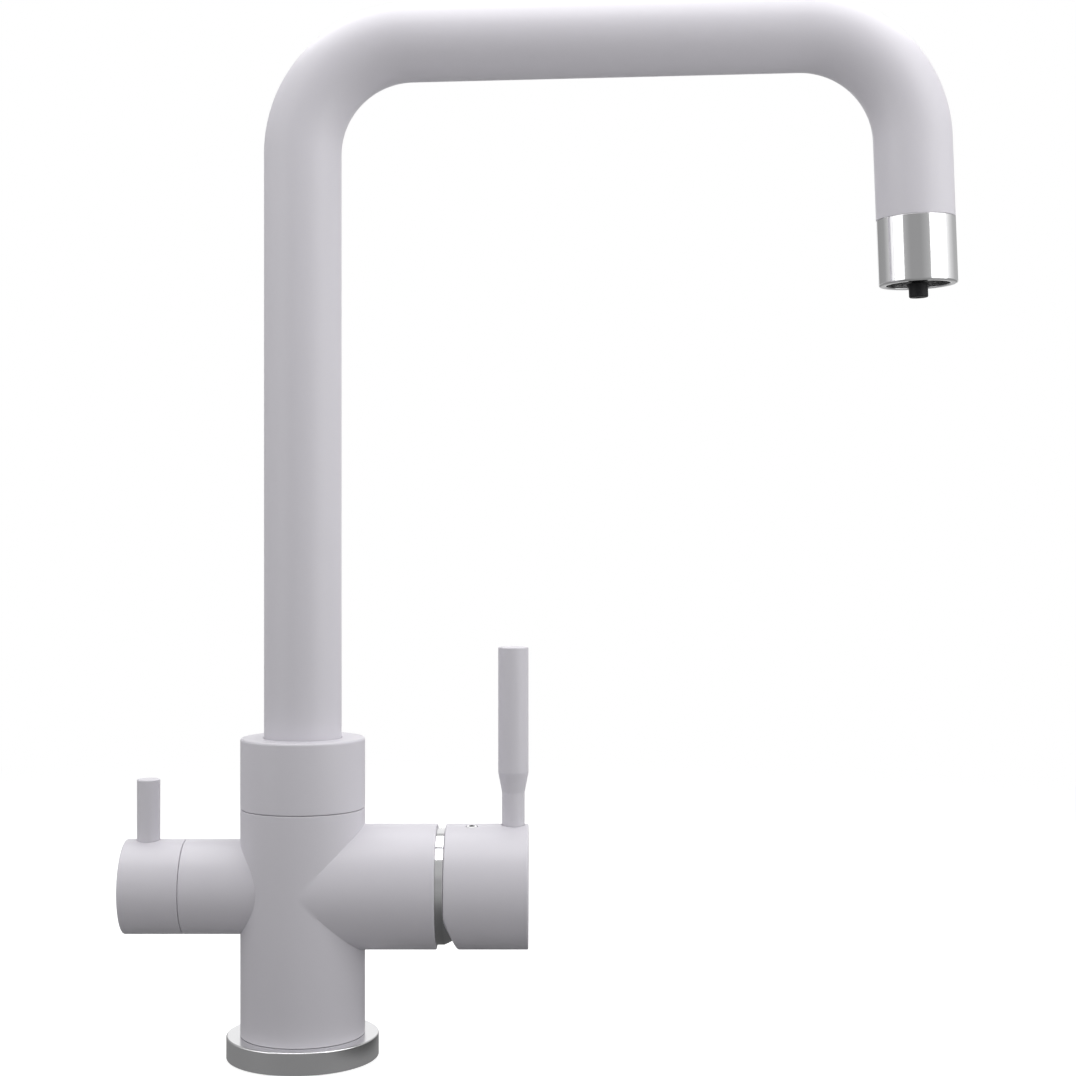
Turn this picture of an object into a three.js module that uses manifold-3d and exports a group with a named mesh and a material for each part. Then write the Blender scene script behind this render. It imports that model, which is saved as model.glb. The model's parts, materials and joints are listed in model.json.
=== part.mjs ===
// Three way filtered water tap: hot and cold water are mixed by the side lever on the right,
// filtered water has its own quarter turn valve on the left, and both leave the same swivel
// spout through two separate waterways.
//
// Millimetres. +Z is up along the body, the origin is where that axis meets the worktop, the
// mixer arm points along +X and the filter arm along -X.

import * as THREE from 'three';
import { mergeVertices } from 'three/addons/utils/BufferGeometryUtils.js';
import Module from 'manifold-3d';

const wasm = await Module();
wasm.setup();

// ---------------------------------------------------------------- driving dimensions

// Clearances
const seatGap = 0.3; // between pieces that rest on or in each other
const runGap = 0.4; // between pieces that move past each other
const edge = 0.5; // broken outer edges
const smallEdge = 0.4; // of screws and mouldings
const socketShare = 0.58; // hexagon socket of a grub screw, over the screw's radius
const socketDepth = 2;

// Body
const bodyRadius = 22.5;
const bodyHeight = 90.1;
const armHeight = 61.6; // axis of both side arms above the worktop
const registerStep = 2.5; // the body's foot is this much thinner, inside the base ring

// Base ring and fixing kit
const ringHeight = 8.5;
const ringOverhang = 5;
const baseSealThickness = 2.3;
const baseSealWidth = 3.9;
const shankRadius = 16.5;
const shankBoreRadius = 14.2;
const shankLength = 62; // below the worktop's top face
const shankGrip = 8; // length screwed into the body
const worktopThickness = 30; // worktop that the clamp is drawn up to
const clampRadius = 27.5;
const clampSealThickness = 3;
const clampWasherThickness = 2;
const backNutHeight = 8;
const backNutAcrossFlats = 46;

// Supply waterways in the body
const hoseCircleRadius = 8.5;
const hoseSocketRadius = 4.5;
const hoseSocketDepth = 11;
const feedRadius = 3.2;
const portRadius = 3.2; // ports in the cartridge base and discs
const outletPortRise = 8;
const feedPortDrop = 4.6;

// Spout swivel
const seam = 0.4; // gap between body and collar
const swivelBoreRadius = 12.5;
const spigotLength = 16; // below the collar
const spigotBoreRadius = 8.5;
const spigotFlangeWidth = 3.3; // round the tube's foot
const spigotFlangeGrip = 2.6; // above the tube's foot
const tubeFootRise = 3.8; // of the tube's foot above the collar's
const mixingRadius = 9;
const oRingSection = 0.95;
const swivelWasherWidth = 2.3;
const swivelWasherThickness = 1.4;
const spoutScrewRadius = 1.9;
const spoutScrewLength = 7.2;
const spoutScrewTip = { radius: 0.8, length: 1.8 }; // in the spigot's groove
const spoutScrewReach = 1.3; // of the tip into the groove
const filterDrillRadius = 1.8;
const filterCrossRadius = 1.2; // cross drillings of the filtered water

// Spout
const collarHeight = 25.3;
const tubeRadius = 14;
const tubeWall = 1.5;
const bendRadius = 40;
const runHeight = 367.2; // axis of the horizontal run at its corner over the body
const runLength = 218.2; // corner to corner
const runRise = 0.67; // degrees
const outletLean = 2.15; // degrees, the outlet leg leans away from the body
const outletLegLength = 67.65; // from its corner to the tube's end
const spoutSwing = -3; // degrees about +Z, as it stands in the photograph
const filterTubeRadius = 3;
const filterTubeBoreRadius = 2;
const filterTubeOffset = 5.6; // from the spout's axis, at its foot
const filterTubeReach = 9.9; // past the spout tube's end, into the outlet

// Outlet
const outletLength = 23.6;
const outletWall = 1.4;
const outletLip = 1.3; // that holds the insert
const outletSeamEdge = 0.3;
const sleeveWall = 1.7;
const sleeveGrip = 9.5; // length inside the tube, and the same inside the shell
const nozzleRadius = 3.4;
const nozzleBoreRadius = 0.9;
const nozzleStemRadius = 2.3;
const barbLength = 5;
const nozzleReach = 4.45; // below the outlet shell
const aeratorLength = 9;
const aeratorHoleCount = 12;
const aeratorHoleRadius = 1.2;
const aeratorHoleCircle = 7.4;
const aeratorNose = 0.9; // its face inside the shell's mouth

// Mixer arm and cartridge
const cartridgeRadius = 17.5;
const armWall = 4.6;
const pocketClearance = 0.5; // round the cartridge
const mixerArmEnd = 48.8;
const pocketFloor = 20;
const portSealThickness = 1.2;
const portSealRim = { inner: 0.2, outer: 1.6 }; // beyond the ports' radius
const portSealRib = 1.6;
const cartridgeBaseThickness = 2.6;
const discThickness = 3;
const driverThickness = 4.4;
const discSocketWall = 0.9; // play of the spindle's ball in the driver
const mixingHollow = { share: 0.55, rise: 2.5, depth: 1.6 }; // in the moving disc
const housingWall = 3;
const neckWall = 1.9;
const housingNeck = 5;
const carrierRadius = 12.6;
const carrierFlangeThickness = 2.4;
const pivotX = 43.4; // tilt axis of the lever
const carrierNose = 4.6; // carrier ahead of the tilt axis
const pivotPinRadius = 1.5;
const spindleWidth = 6;
const spindleDepth = 7;
const spindleTail = 5.2; // square part inside the tilt axis
const spindlePlay = 1.2; // in the carrier's slot when tilted
const spindleNeckStep = 0.6; // of its neck below the ball's radius
const tipRadius = 2.2;
const tipDepth = 1.5; // of the spindle's ball in the disc driver
const tiltLimit = 18; // degrees
const nutClearance = 0.05; // in the pocket's flats
const nutNoseRadius = 16;
const nutNoseLength = 3.7;
const trimOpeningRadius = 10.5;
const trimReach = 2.9; // of the ring inside the lever cap
const trimGap = 0.5; // between its dome and the cap's inner edge

// Lever
const leverCapRadius = 22.5;
const leverCapGap = 3.2; // between the arm's end and the cap
const leverCapLength = 30;
const leverCapWall = 1.3;
const leverCapSolid = 13; // solid end that holds the rod
const hubRadius = 7;
const hubLead = 3; // of the hub ahead of the clamping screw
const bossWall = 2.4; // round the clamping screw
const spindleStop = 1.4; // solid left between the spindle's hole and the cap's end
const rodX = 76.5;
const rodRadius = 5.5;
const rodStemRadius = 4.1;
const rodTop = 148.6;
const rodTaperTop = 103.1;
const rodTaperBottom = 95.8;
const rodHoleDepth = 14.2; // in the cap, from its surface
const leverScrewX = 61.5;
const leverScrewRadius = 1.9;
const leverScrewLength = 7;
const leverScrewTipLength = 0.6;
const plugLength = 2.4;
const plugInset = 0.1;
const plugDimple = { radius: 0.9, depth: 0.6 };

// Filter arm, lengths measured outwards from the body's axis
const filterArmRadius = 17;
const filterArmEnd = 42.5;
const filterPocketFloor = 20;
const filterPocketRadius = 12;
const bonnetRadius = 9.5;
const bonnetBoreRadius = 8;
const bonnetFlangeLength = 6.7;
const filterDiscThickness = 2.6;
const stemFlangeThickness = 2.6;
const stemGroove = { width: 1.6, depth: 1 };
const stemRingSection = 0.5;
const bonnetChamberLength = 4; // past the stem's flange
const bonnetWindowRadius = 1.7;
const seatSealThickness = 1.7;
const filterStemRadius = 4;
const knobLength = 21.4;
const knobWall = 2.2;
const knobSolid = 14;
const knobHubSetback = 1.4;
const pinSeatDepth = 1.1; // of the flat that the pin's shoulder sits on
const stemFlatDepth = 0.6;
const stemTail = 2.2; // of the stem past the pin
const pinReach = 56.1;
const pinRadius = 4.15;
const pinThreadRadius = 2.9;
const pinTop = 100.6;

// Sides of the round pieces
const largeSides = 32;
const ringSides = 28;
const mediumSides = 18;
const smallSides = 16;
const sealSides = 10;
const drillSides = 8;
const innerTubeSides = 6;
const bendSteps = 7; // in each bend of the spout tube

// ---------------------------------------------------------------- sizes that follow

const mixerArmRadius = cartridgeRadius + runGap + armWall;
const pocketRadius = cartridgeRadius + pocketClearance;
const nutRadius = pocketRadius * Math.cos(Math.PI / mediumSides) - nutClearance;
const footRadius = bodyRadius - registerStep;
const footBottom = 0.9;
const baseRingRadius = bodyRadius + ringOverhang;
const collarBottom = bodyHeight + seam;
const collarTop = collarBottom + collarHeight;
const spigotBottom = collarBottom - spigotLength;
const tubeBoreRadius = tubeRadius - tubeWall;
const hosePlane = footBottom + shankGrip; // roof of the socket that takes the shank

// ---------------------------------------------------------------- finishes

const whiteCoat = { color: 0xe9e8ec, roughness: 0.55, metalness: 0.0 };
const chrome = { color: 0xc8c9cc, roughness: 0.08, metalness: 1.0 };
const brass = { color: 0xb8954f, roughness: 0.35, metalness: 1.0 };
const steel = { color: 0x9a9da1, roughness: 0.4, metalness: 1.0 };
const blackRubber = { color: 0x1c1c1e, roughness: 0.85, metalness: 0.0 };
const blackPlastic = { color: 0x151517, roughness: 0.45, metalness: 0.0 };
const greyPlastic = { color: 0xa9adb0, roughness: 0.5, metalness: 0.0 };
const clearTube = { color: 0xe4e9ea, roughness: 0.35, metalness: 0.0 };
const ceramic = { color: 0xf1efe9, roughness: 0.25, metalness: 0.0 };

// ---------------------------------------------------------------- modelling helpers

const radians = THREE.MathUtils.degToRad;

// Corner points of a regular polygon.
function ringPoints(radius, sides) {
  const points = [];
  for (let i = 0; i < sides; i++) {
    const angle = (2 * Math.PI * i) / sides;
    points.push(new THREE.Vector2(radius * Math.cos(angle), radius * Math.sin(angle)));
  }
  return points;
}

// Turned piece about +Z. The profile is a list of [radius, height] corners that goes up on
// the outside and down on the inside.
function turned(profile, sides = mediumSides) {
  const points = [...profile, profile[0]].map(([r, h]) => new THREE.Vector2(r, h));
  return new THREE.LatheGeometry(points, sides).rotateX(Math.PI / 2);
}

// The same along +X, heights becoming distances along X.
function turnedX(profile, sides = mediumSides) {
  return turned(profile, sides).rotateY(Math.PI / 2);
}

// The same along -X.
function turnedMinusX(profile, sides = mediumSides) {
  return turned(profile, sides).rotateY(-Math.PI / 2);
}

// Plain ring or washer profile.
function ringProfile(inner, outer, bottom, top) {
  return [[inner, bottom], [outer, bottom], [outer, top], [inner, top]];
}

// Round bar between two points.
function bar(radius, from, to, sides = drillSides) {
  const start = new THREE.Vector3(...from);
  const way = new THREE.Vector3(...to).sub(start);
  const geometry = new THREE.CylinderGeometry(radius, radius, way.length(), sides);
  geometry.translate(0, way.length() / 2, 0);
  const turn = new THREE.Quaternion().setFromUnitVectors(new THREE.Vector3(0, 1, 0),
    way.clone().normalize());
  return geometry.applyQuaternion(turn).translate(start.x, start.y, start.z);
}

// Box from its lowest to its highest corner.
function block(low, high) {
  const size = high.map((value, i) => value - low[i]);
  const middle = high.map((value, i) => (value + low[i]) / 2);
  return new THREE.BoxGeometry(...size).translate(...middle);
}

// O-ring about +Z at a height.
function oRing(radius, section, height, sides = mediumSides) {
  const profile = ringPoints(section, 6).map((p) => [radius + p.x, height + p.y]);
  return turned(profile, sides);
}

// Welds a geometry into a closed solid, with its faces pointing outwards.
function solid(geometry) {
  const plain = geometry.clone();
  plain.deleteAttribute('normal');
  plain.deleteAttribute('uv');
  const welded = mergeVertices(plain);
  const position = welded.getAttribute('position');
  const index = welded.index.array;
  const corner = [0, 1, 2].map(() => new THREE.Vector3());
  const triangles = [];
  let volume = 0;
  for (let i = 0; i < index.length; i += 3) {
    const [a, b, c] = [index[i], index[i + 1], index[i + 2]];
    if (a === b || b === c || c === a) continue;
    triangles.push([a, b, c]);
    [a, b, c].forEach((vertex, k) => corner[k].fromBufferAttribute(position, vertex));
    volume += corner[0].dot(corner[1].clone().cross(corner[2]));
  }
  const order = volume > 0 ? triangles : triangles.map(([a, b, c]) => [a, c, b]);
  return new wasm.Manifold(new wasm.Mesh({
    numProp: 3,
    vertProperties: new Float32Array(position.array),
    triVerts: new Uint32Array(order.flat()),
  }));
}

// Turns a solid back into a geometry.
function surface(body) {
  const mesh = body.getMesh();
  const geometry = new THREE.BufferGeometry();
  geometry.setAttribute('position', new THREE.BufferAttribute(mesh.vertProperties, 3));
  geometry.setIndex(new THREE.BufferAttribute(mesh.triVerts, 1));
  geometry.computeVertexNormals();
  return geometry;
}

function join(...blanks) {
  return surface(blanks.map(solid).reduce((sum, blank) => sum.add(blank)));
}

function cut(blank, ...tools) {
  return surface(tools.reduce((rest, tool) => rest.subtract(solid(tool)), solid(blank)));
}

function piece(name, geometry, finish) {
  const mesh = new THREE.Mesh(surface(solid(geometry)), new THREE.MeshStandardMaterial(finish));
  mesh.name = name;
  return mesh;
}

function group(...members) {
  return new THREE.Group().add(...members);
}

// ---------------------------------------------------------------- base ring and fixing kit

function baseKit() {
  const ringBottom = 0.4;
  const inner = footRadius + seatGap;
  const grooveOuter = baseRingRadius - 1.5;
  const grooveInner = grooveOuter - baseSealWidth - 2 * seatGap;
  const grooveRoof = baseSealThickness + seatGap;
  const ring = turned([
    [inner, ringBottom], [grooveInner, ringBottom], [grooveInner, grooveRoof],
    [grooveOuter, grooveRoof], [grooveOuter, ringBottom], [baseRingRadius, ringBottom],
    [baseRingRadius, ringHeight - edge], [baseRingRadius - edge, ringHeight],
    [inner, ringHeight],
  ], ringSides);
  const seal = turned(ringProfile(grooveInner + seatGap, grooveOuter - seatGap, 0,
    baseSealThickness), ringSides);

  const shankTop = hosePlane - seatGap;
  const shank = turned([
    [shankBoreRadius, -shankLength], [shankRadius - 1, -shankLength],
    [shankRadius, -shankLength + 1], [shankRadius, shankTop], [shankBoreRadius, shankTop],
  ]);

  const clampBore = shankRadius + runGap;
  const sealTop = -worktopThickness;
  const washerTop = sealTop - clampSealThickness - seatGap;
  const nutTop = washerTop - clampWasherThickness - seatGap;
  const clampSeal = turned(ringProfile(clampBore, clampRadius, sealTop - clampSealThickness,
    sealTop));
  const washer = turned(ringProfile(clampBore, clampRadius, washerTop - clampWasherThickness,
    washerTop));
  const nutCorner = backNutAcrossFlats / 2 / Math.cos(Math.PI / 6);
  const hexagon = turned([[0, nutTop - backNutHeight], [nutCorner, nutTop - backNutHeight],
    [nutCorner, nutTop], [0, nutTop]], 6);
  const nut = cut(hexagon, bar(clampBore, [0, 0, nutTop - backNutHeight - 1],
    [0, 0, nutTop + 1], mediumSides));

  return group(
    piece('base_ring', ring, chrome),
    piece('base_seal', seal, blackRubber),
    piece('fixing_shank', shank, brass),
    piece('clamp_seal', clampSeal, blackRubber),
    piece('clamp_washer', washer, steel),
    piece('back_nut', nut, brass),
  );
}

// ---------------------------------------------------------------- main body

// Ports of the cartridge, seen along the arm: [y, z] from its axis. The hot and cold feeds
// stand over two of the three hose sockets.
const feedX = hoseCircleRadius * Math.cos(radians(60));
const feedY = hoseCircleRadius * Math.sin(radians(60));
const cartridgePorts = [[feedY, -feedPortDrop], [-feedY, -feedPortDrop], [0, outletPortRise]];
const cartridgePegs = [[12.5, 4], [-12.5, 4]];
const pegRadius = 1.6;
const pegLength = 1.7;

// Heights on the spout's spigot
const lowerRingAt = spigotBottom + 1.8;
const filterRingAt = spigotBottom + 4.6;
const upperRingAt = spigotBottom + 7.5;
const retainerAt = spigotBottom + 11.5;
const grooveWidth = 2.2;
const oRingGrooveDepth = 1.8;
const filterGrooveDepth = 1.3;
const retainerGrooveDepth = 1.4;
const swivelWasherBottom = bodyHeight + 0.2 - swivelWasherThickness;

// Place of the drilled way that carries filtered water up to the spigot
const filterWayX = -(swivelBoreRadius + filterDrillRadius + 2.2);
const filterAnnulusRise = (bonnetRadius + filterPocketRadius) / 2;

function mainBody() {
  const column = turned([
    [0, footBottom], [footRadius, footBottom], [footRadius, ringHeight + seatGap],
    [bodyRadius - edge, ringHeight + seatGap], [bodyRadius, ringHeight + seatGap + edge],
    [bodyRadius, bodyHeight - edge], [bodyRadius - edge, bodyHeight], [0, bodyHeight],
  ], largeSides);
  const mixerArm = turnedX([
    [0, 0], [mixerArmRadius, 0], [mixerArmRadius, mixerArmEnd - edge],
    [mixerArmRadius - edge, mixerArmEnd], [0, mixerArmEnd],
  ], largeSides).translate(0, 0, armHeight);
  const filterArm = turnedMinusX([
    [0, 0], [filterArmRadius, 0], [filterArmRadius, filterArmEnd - edge],
    [filterArmRadius - edge, filterArmEnd], [0, filterArmEnd],
  ], largeSides).translate(0, 0, armHeight);
  return cut(join(column, mixerArm, filterArm), ...swivelBores(), ...supplyBores(),
    ...mixerBores(), ...filterBores());
}

// Bore for the spigot, mixing chamber below it, seat of the swivel washer, and the threaded
// hole at the back for the screw that keeps the spout in.
function swivelBores() {
  const top = bodyHeight + 1;
  const boreFloor = spigotBottom - seatGap;
  const chamberFloor = armHeight + 4.7;
  const washerSeat = swivelBoreRadius + swivelWasherWidth + 2 * seatGap;
  return [
    bar(swivelBoreRadius, [0, 0, boreFloor], [0, 0, top], largeSides),
    bar(mixingRadius, [0, 0, chamberFloor], [0, 0, boreFloor + 1], smallSides),
    bar(washerSeat, [0, 0, swivelWasherBottom - seatGap], [0, 0, top], mediumSides),
    bar(spoutScrewRadius + seatGap, [0, swivelBoreRadius - 1, retainerAt],
      [0, bodyRadius + 1, retainerAt]),
  ];
}

// Socket for the shank, and three hose sockets with the ways drilled up from them.
function supplyBores() {
  const feedTop = armHeight - feedPortDrop + feedRadius;
  const filterTop = armHeight + feedRadius;
  const ways = [[feedX, feedY, feedTop], [feedX, -feedY, feedTop],
    [-hoseCircleRadius, 0, filterTop]];
  const socketTop = hosePlane + hoseSocketDepth;
  return [
    bar(shankRadius + seatGap, [0, 0, footBottom - 1], [0, 0, hosePlane], mediumSides),
    ...ways.map(([x, y]) => bar(hoseSocketRadius, [x, y, hosePlane - 1], [x, y, socketTop], 12)),
    ...ways.map(([x, y, top]) => bar(feedRadius, [x, y, socketTop - 1], [x, y, top])),
  ];
}

// Cartridge pocket with its three ports and the two holes for the locating pegs.
function mixerBores() {
  const starts = [feedX, feedX, mixingRadius - 2];
  return [
    bar(pocketRadius, [pocketFloor, 0, armHeight], [mixerArmEnd + 1, 0, armHeight],
      mediumSides),
    ...cartridgePorts.map(([y, z], i) => bar(portRadius, [starts[i], y, armHeight + z],
      [pocketFloor + 1, y, armHeight + z])),
    ...cartridgePegs.map(([y, z]) => bar(pegRadius + seatGap,
      [pocketFloor - pegLength, y, armHeight + z], [pocketFloor + 1, y, armHeight + z])),
  ];
}

// Pocket of the filter valve, its inlet in the middle, and the way from the space round the
// valve up to the ring groove of the spigot.
function filterBores() {
  const wayBottom = armHeight + filterAnnulusRise;
  return [
    bar(filterPocketRadius, [-filterPocketFloor, 0, armHeight],
      [-filterArmEnd - 1, 0, armHeight], mediumSides),
    bar(feedRadius - 0.2, [-hoseCircleRadius, 0, armHeight],
      [-filterPocketFloor - 1, 0, armHeight]),
    bar(filterDrillRadius, [filterWayX, 0, wayBottom - 1], [filterWayX, 0, filterRingAt + 1]),
    bar(filterCrossRadius, [filterWayX, 0, filterRingAt], [-swivelBoreRadius + 1, 0, filterRingAt]),
    bar(filterDrillRadius, [filterWayX, 0, wayBottom], [-filterPocketFloor - 1, 0, wayBottom]),
  ];
}

function swivelWasher() {
  const inner = swivelBoreRadius + seatGap;
  return turned(ringProfile(inner, inner + swivelWasherWidth, swivelWasherBottom,
    swivelWasherBottom + swivelWasherThickness));
}

// Grub screw along +Z, with its tip at the origin and a hexagon socket in its other end.
function grubScrew(radius, length, tipEndRadius, tipLength) {
  const blank = turned([[0, 0], [tipEndRadius, 0], [tipEndRadius, tipLength],
    [radius, tipLength + smallEdge], [radius, length], [0, length]], smallSides);
  const socketRadius = radius * socketShare;
  return cut(blank, bar(socketRadius, [0, 0, length - socketDepth], [0, 0, length + 1], 6));
}

function spoutScrew() {
  return grubScrew(spoutScrewRadius, spoutScrewLength, spoutScrewTip.radius, spoutScrewTip.length)
    .rotateX(-Math.PI / 2).translate(0, swivelBoreRadius - spoutScrewReach, retainerAt);
}

// ---------------------------------------------------------------- mixer cartridge

// Positions along the mixer arm
const portSealAt = pocketFloor + seatGap;
const cartridgeBaseAt = portSealAt + portSealThickness + seatGap;
const fixedDiscAt = cartridgeBaseAt + cartridgeBaseThickness + seatGap;
const movingDiscAt = fixedDiscAt + discThickness + seatGap;
const driverAt = movingDiscAt + discThickness + seatGap;
const carrierAt = driverAt + driverThickness + seatGap;
const carrierEnd = pivotX + carrierNose;
const tipX = driverAt + driverThickness - tipDepth;
const housingStep = carrierAt + carrierFlangeThickness + runGap; // inner shoulder over the flange
const housingShoulder = carrierEnd - housingNeck; // outer shoulder under the nut
const housingBoreRadius = cartridgeRadius - housingWall;
const neckBoreRadius = carrierRadius + seatGap;
const neckRadius = neckBoreRadius + neckWall;
const capStart = mixerArmEnd + leverCapGap;
const capEnd = capStart + leverCapLength;
const capBoreRadius = leverCapRadius - leverCapWall;
const domeRadius = Math.hypot(capBoreRadius, capStart - pivotX) - trimGap;

// Moulded seal: three rings joined by ribs at the middle.
function portSeal() {
  const end = portSealAt + portSealThickness;
  const rim = ringProfile(portRadius + portSealRim.inner, portRadius + portSealRim.outer,
    portSealAt, end);
  const rings = cartridgePorts.map(([y, z]) => turnedX(rim, sealSides).translate(0, y, z));
  const ribs = cartridgePorts.map(([y, z]) => {
    const reach = Math.hypot(y, z) - portRadius - portSealRib / 2;
    const rib = block([portSealAt, -portSealRib / 2, 0], [end, portSealRib / 2, reach]);
    return rib.rotateX(-Math.atan2(y, z));
  });
  return join(...rings, ...ribs);
}

function cartridgeBase() {
  const end = cartridgeBaseAt + cartridgeBaseThickness;
  const disc = turnedX([[0, cartridgeBaseAt], [cartridgeRadius, cartridgeBaseAt],
    [cartridgeRadius, end], [0, end]]);
  const pegs = cartridgePegs.map(([y, z]) => bar(pegRadius,
    [pocketFloor - pegLength + seatGap, y, z], [cartridgeBaseAt + 1, y, z]));
  return cut(join(disc, ...pegs), ...portDrills(cartridgeBaseAt, end));
}

function portDrills(from, to) {
  return cartridgePorts.map(([y, z]) => bar(portRadius, [from - 1, y, z], [to + 1, y, z]));
}

function fixedDisc() {
  const end = fixedDiscAt + discThickness;
  const radius = housingBoreRadius - seatGap;
  const disc = turnedX([[0, fixedDiscAt], [radius, fixedDiscAt], [radius, end], [0, end]]);
  return cut(disc, ...portDrills(fixedDiscAt, end));
}

// Furthest that the tilted spindle pushes the moving disc
const discTravel = (pivotX - tipX) * Math.sin(radians(tiltLimit));

// The moving disc has a mixing hollow in its working face.
function movingDisc() {
  const radius = housingBoreRadius - discTravel - 2 * seatGap;
  const end = movingDiscAt + discThickness;
  const disc = turnedX([[0, movingDiscAt], [radius, movingDiscAt], [radius, end], [0, end]]);
  const { share, rise, depth } = mixingHollow;
  return cut(disc, bar(radius * share, [movingDiscAt - 1, 0, rise],
    [movingDiscAt + depth, 0, rise], smallSides));
}

function discDriver() {
  const radius = housingBoreRadius - discTravel - 3 * seatGap;
  const end = driverAt + driverThickness;
  const socket = tipRadius + discSocketWall;
  const disc = turnedX([[0, driverAt], [radius, driverAt], [radius, end - edge],
    [radius - edge, end], [0, end]]);
  return cut(disc, bar(socket, [tipX - tipRadius - seatGap, 0, 0], [end + 1, 0, 0],
    smallSides));
}

function cartridgeHousing() {
  return turnedX([
    [housingBoreRadius, fixedDiscAt], [cartridgeRadius, fixedDiscAt],
    [cartridgeRadius, housingShoulder], [neckRadius, housingShoulder],
    [neckRadius, carrierEnd], [neckBoreRadius, carrierEnd],
    [neckBoreRadius, housingStep], [housingBoreRadius, housingStep],
  ]);
}

// Ring nut that screws into the arm and holds the cartridge down on its seal.
function cartridgeNut() {
  const start = housingShoulder + seatGap;
  const step = carrierEnd + seatGap;
  const flange = mixerArmEnd - seatGap;
  const end = mixerArmEnd + nutNoseLength;
  return turnedX([
    [neckRadius + seatGap, start], [nutRadius, start],
    [nutRadius, flange], [nutNoseRadius, flange], [nutNoseRadius, end],
    [carrierRadius, end], [carrierRadius, step], [neckRadius + seatGap, step],
  ]);
}

// Chrome ring with a spherical face about the tilt axis, so that the lever cap swings over it.
function trimRing() {
  const start = mixerArmEnd + seatGap;
  const end = capStart + trimReach;
  const face = [];
  for (let i = 0; i <= 3; i++) {
    const x = start + ((end - start) * i) / 3;
    face.push([Math.sqrt(domeRadius ** 2 - (x - pivotX) ** 2), x]);
  }
  const lip = mixerArmEnd + nutNoseLength + seatGap;
  const bore = nutNoseRadius + seatGap;
  return turnedX([[bore, start], ...face, [trimOpeningRadius, end], [trimOpeningRadius, lip],
    [bore, lip]], ringSides);
}

// Rotor that turns with the lever and carries its tilt pin.
function carrier() {
  const flangeEnd = carrierAt + carrierFlangeThickness;
  const blank = turnedX([
    [0, carrierAt], [housingBoreRadius - seatGap, carrierAt],
    [housingBoreRadius - seatGap, flangeEnd], [carrierRadius, flangeEnd],
    [carrierRadius, carrierEnd], [0, carrierEnd],
  ]);
  const halfWidth = spindleWidth / 2 + seatGap;
  const halfDepth = carrierNose * Math.tan(radians(tiltLimit)) + spindleDepth / 2
    + spindlePlay;
  const slot = block([carrierAt - 1, -halfWidth, -halfDepth],
    [carrierEnd + 1, halfWidth, halfDepth]);
  const pinHole = bar(pivotPinRadius + seatGap, [pivotX, -carrierRadius - 1, 0],
    [pivotX, carrierRadius + 1, 0]);
  return cut(blank, slot, pinHole);
}

function pivotPin() {
  const half = carrierRadius - 1;
  return bar(pivotPinRadius, [pivotX, -half, 0], [pivotX, half, 0]);
}

// Square spindle with a ball at its inner end, pierced for the tilt pin.
function spindle() {
  const shankStart = pivotX - spindleTail;
  const shank = block([shankStart, -spindleWidth / 2, -spindleDepth / 2],
    [capEnd - leverCapSolid - 2, spindleWidth / 2, spindleDepth / 2]);
  const neck = bar(tipRadius - spindleNeckStep, [tipX, 0, 0], [shankStart + 1, 0, 0]);
  const ball = new THREE.SphereGeometry(tipRadius, 12, 8).translate(tipX, 0, 0);
  const pinHole = bar(pivotPinRadius + seatGap, [pivotX, -spindleWidth, 0],
    [pivotX, spindleWidth, 0]);
  return cut(join(shank, neck, ball), pinHole);
}

// ---------------------------------------------------------------- lever

// Hollow cap with a hub on the spindle, a boss for the clamping screw, a solid end that holds
// the rod, and a lower edge cut back so that it clears the arm when the lever is tilted.
function leverCap() {
  const solidFrom = capEnd - leverCapSolid;
  const shell = turnedX([
    [0, solidFrom], [capBoreRadius, solidFrom], [capBoreRadius, capStart],
    [leverCapRadius - edge, capStart], [leverCapRadius, capStart + edge],
    [leverCapRadius, capEnd - edge], [leverCapRadius - edge, capEnd], [0, capEnd],
  ], largeSides);
  const hubStart = leverScrewX - hubLead;
  const hub = bar(hubRadius, [hubStart, 0, 0], [solidFrom + 1, 0, 0], smallSides);
  const boss = bar(leverScrewRadius + bossWall, [leverScrewX, 0, hubRadius - 2],
    [leverScrewX, 0, capBoreRadius + seatGap], smallSides);
  const spindleHole = block(
    [hubStart - 1, -spindleWidth / 2 - seatGap, -spindleDepth / 2 - seatGap],
    [solidFrom - spindleStop, spindleWidth / 2 + seatGap, spindleDepth / 2 + seatGap]);
  const screwHole = bar(leverScrewRadius + seatGap, [leverScrewX, 0, 1],
    [leverScrewX, 0, leverCapRadius + 1]);
  const rodHole = bar(rodStemRadius + seatGap, [rodX, 0, rodSeat()],
    [rodX, 0, leverCapRadius + 1], smallSides);
  return cut(join(shell, hub, boss), spindleHole, screwHole, rodHole, tiltRelief());
}

// Floor of the rod's hole, measured from the arm's axis
function rodSeat() {
  return leverCapRadius - rodHoleDepth;
}

// Everything that would pass the arm's end when the lever stands at its limit, turned back to
// the lever's place at rest.
function tiltRelief() {
  const reach = 3 * leverCapRadius;
  const relief = block([-reach, -reach, -reach], [mixerArmEnd + runGap - pivotX, reach, reach]);
  return relief.rotateY(-radians(tiltLimit)).translate(pivotX, 0, 0);
}

function leverRod() {
  const bottom = rodSeat() + seatGap;
  const top = rodTop - armHeight;
  return turned([
    [0, bottom], [rodStemRadius, bottom], [rodStemRadius, rodTaperBottom - armHeight],
    [rodRadius, rodTaperTop - armHeight], [rodRadius, top - edge], [rodRadius - edge, top],
    [0, top],
  ]).translate(rodX, 0, 0);
}

function leverScrew() {
  return grubScrew(leverScrewRadius, leverScrewLength, leverScrewRadius - smallEdge,
    leverScrewTipLength)
    .translate(leverScrewX, 0, spindleDepth / 2 + seatGap);
}

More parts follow.
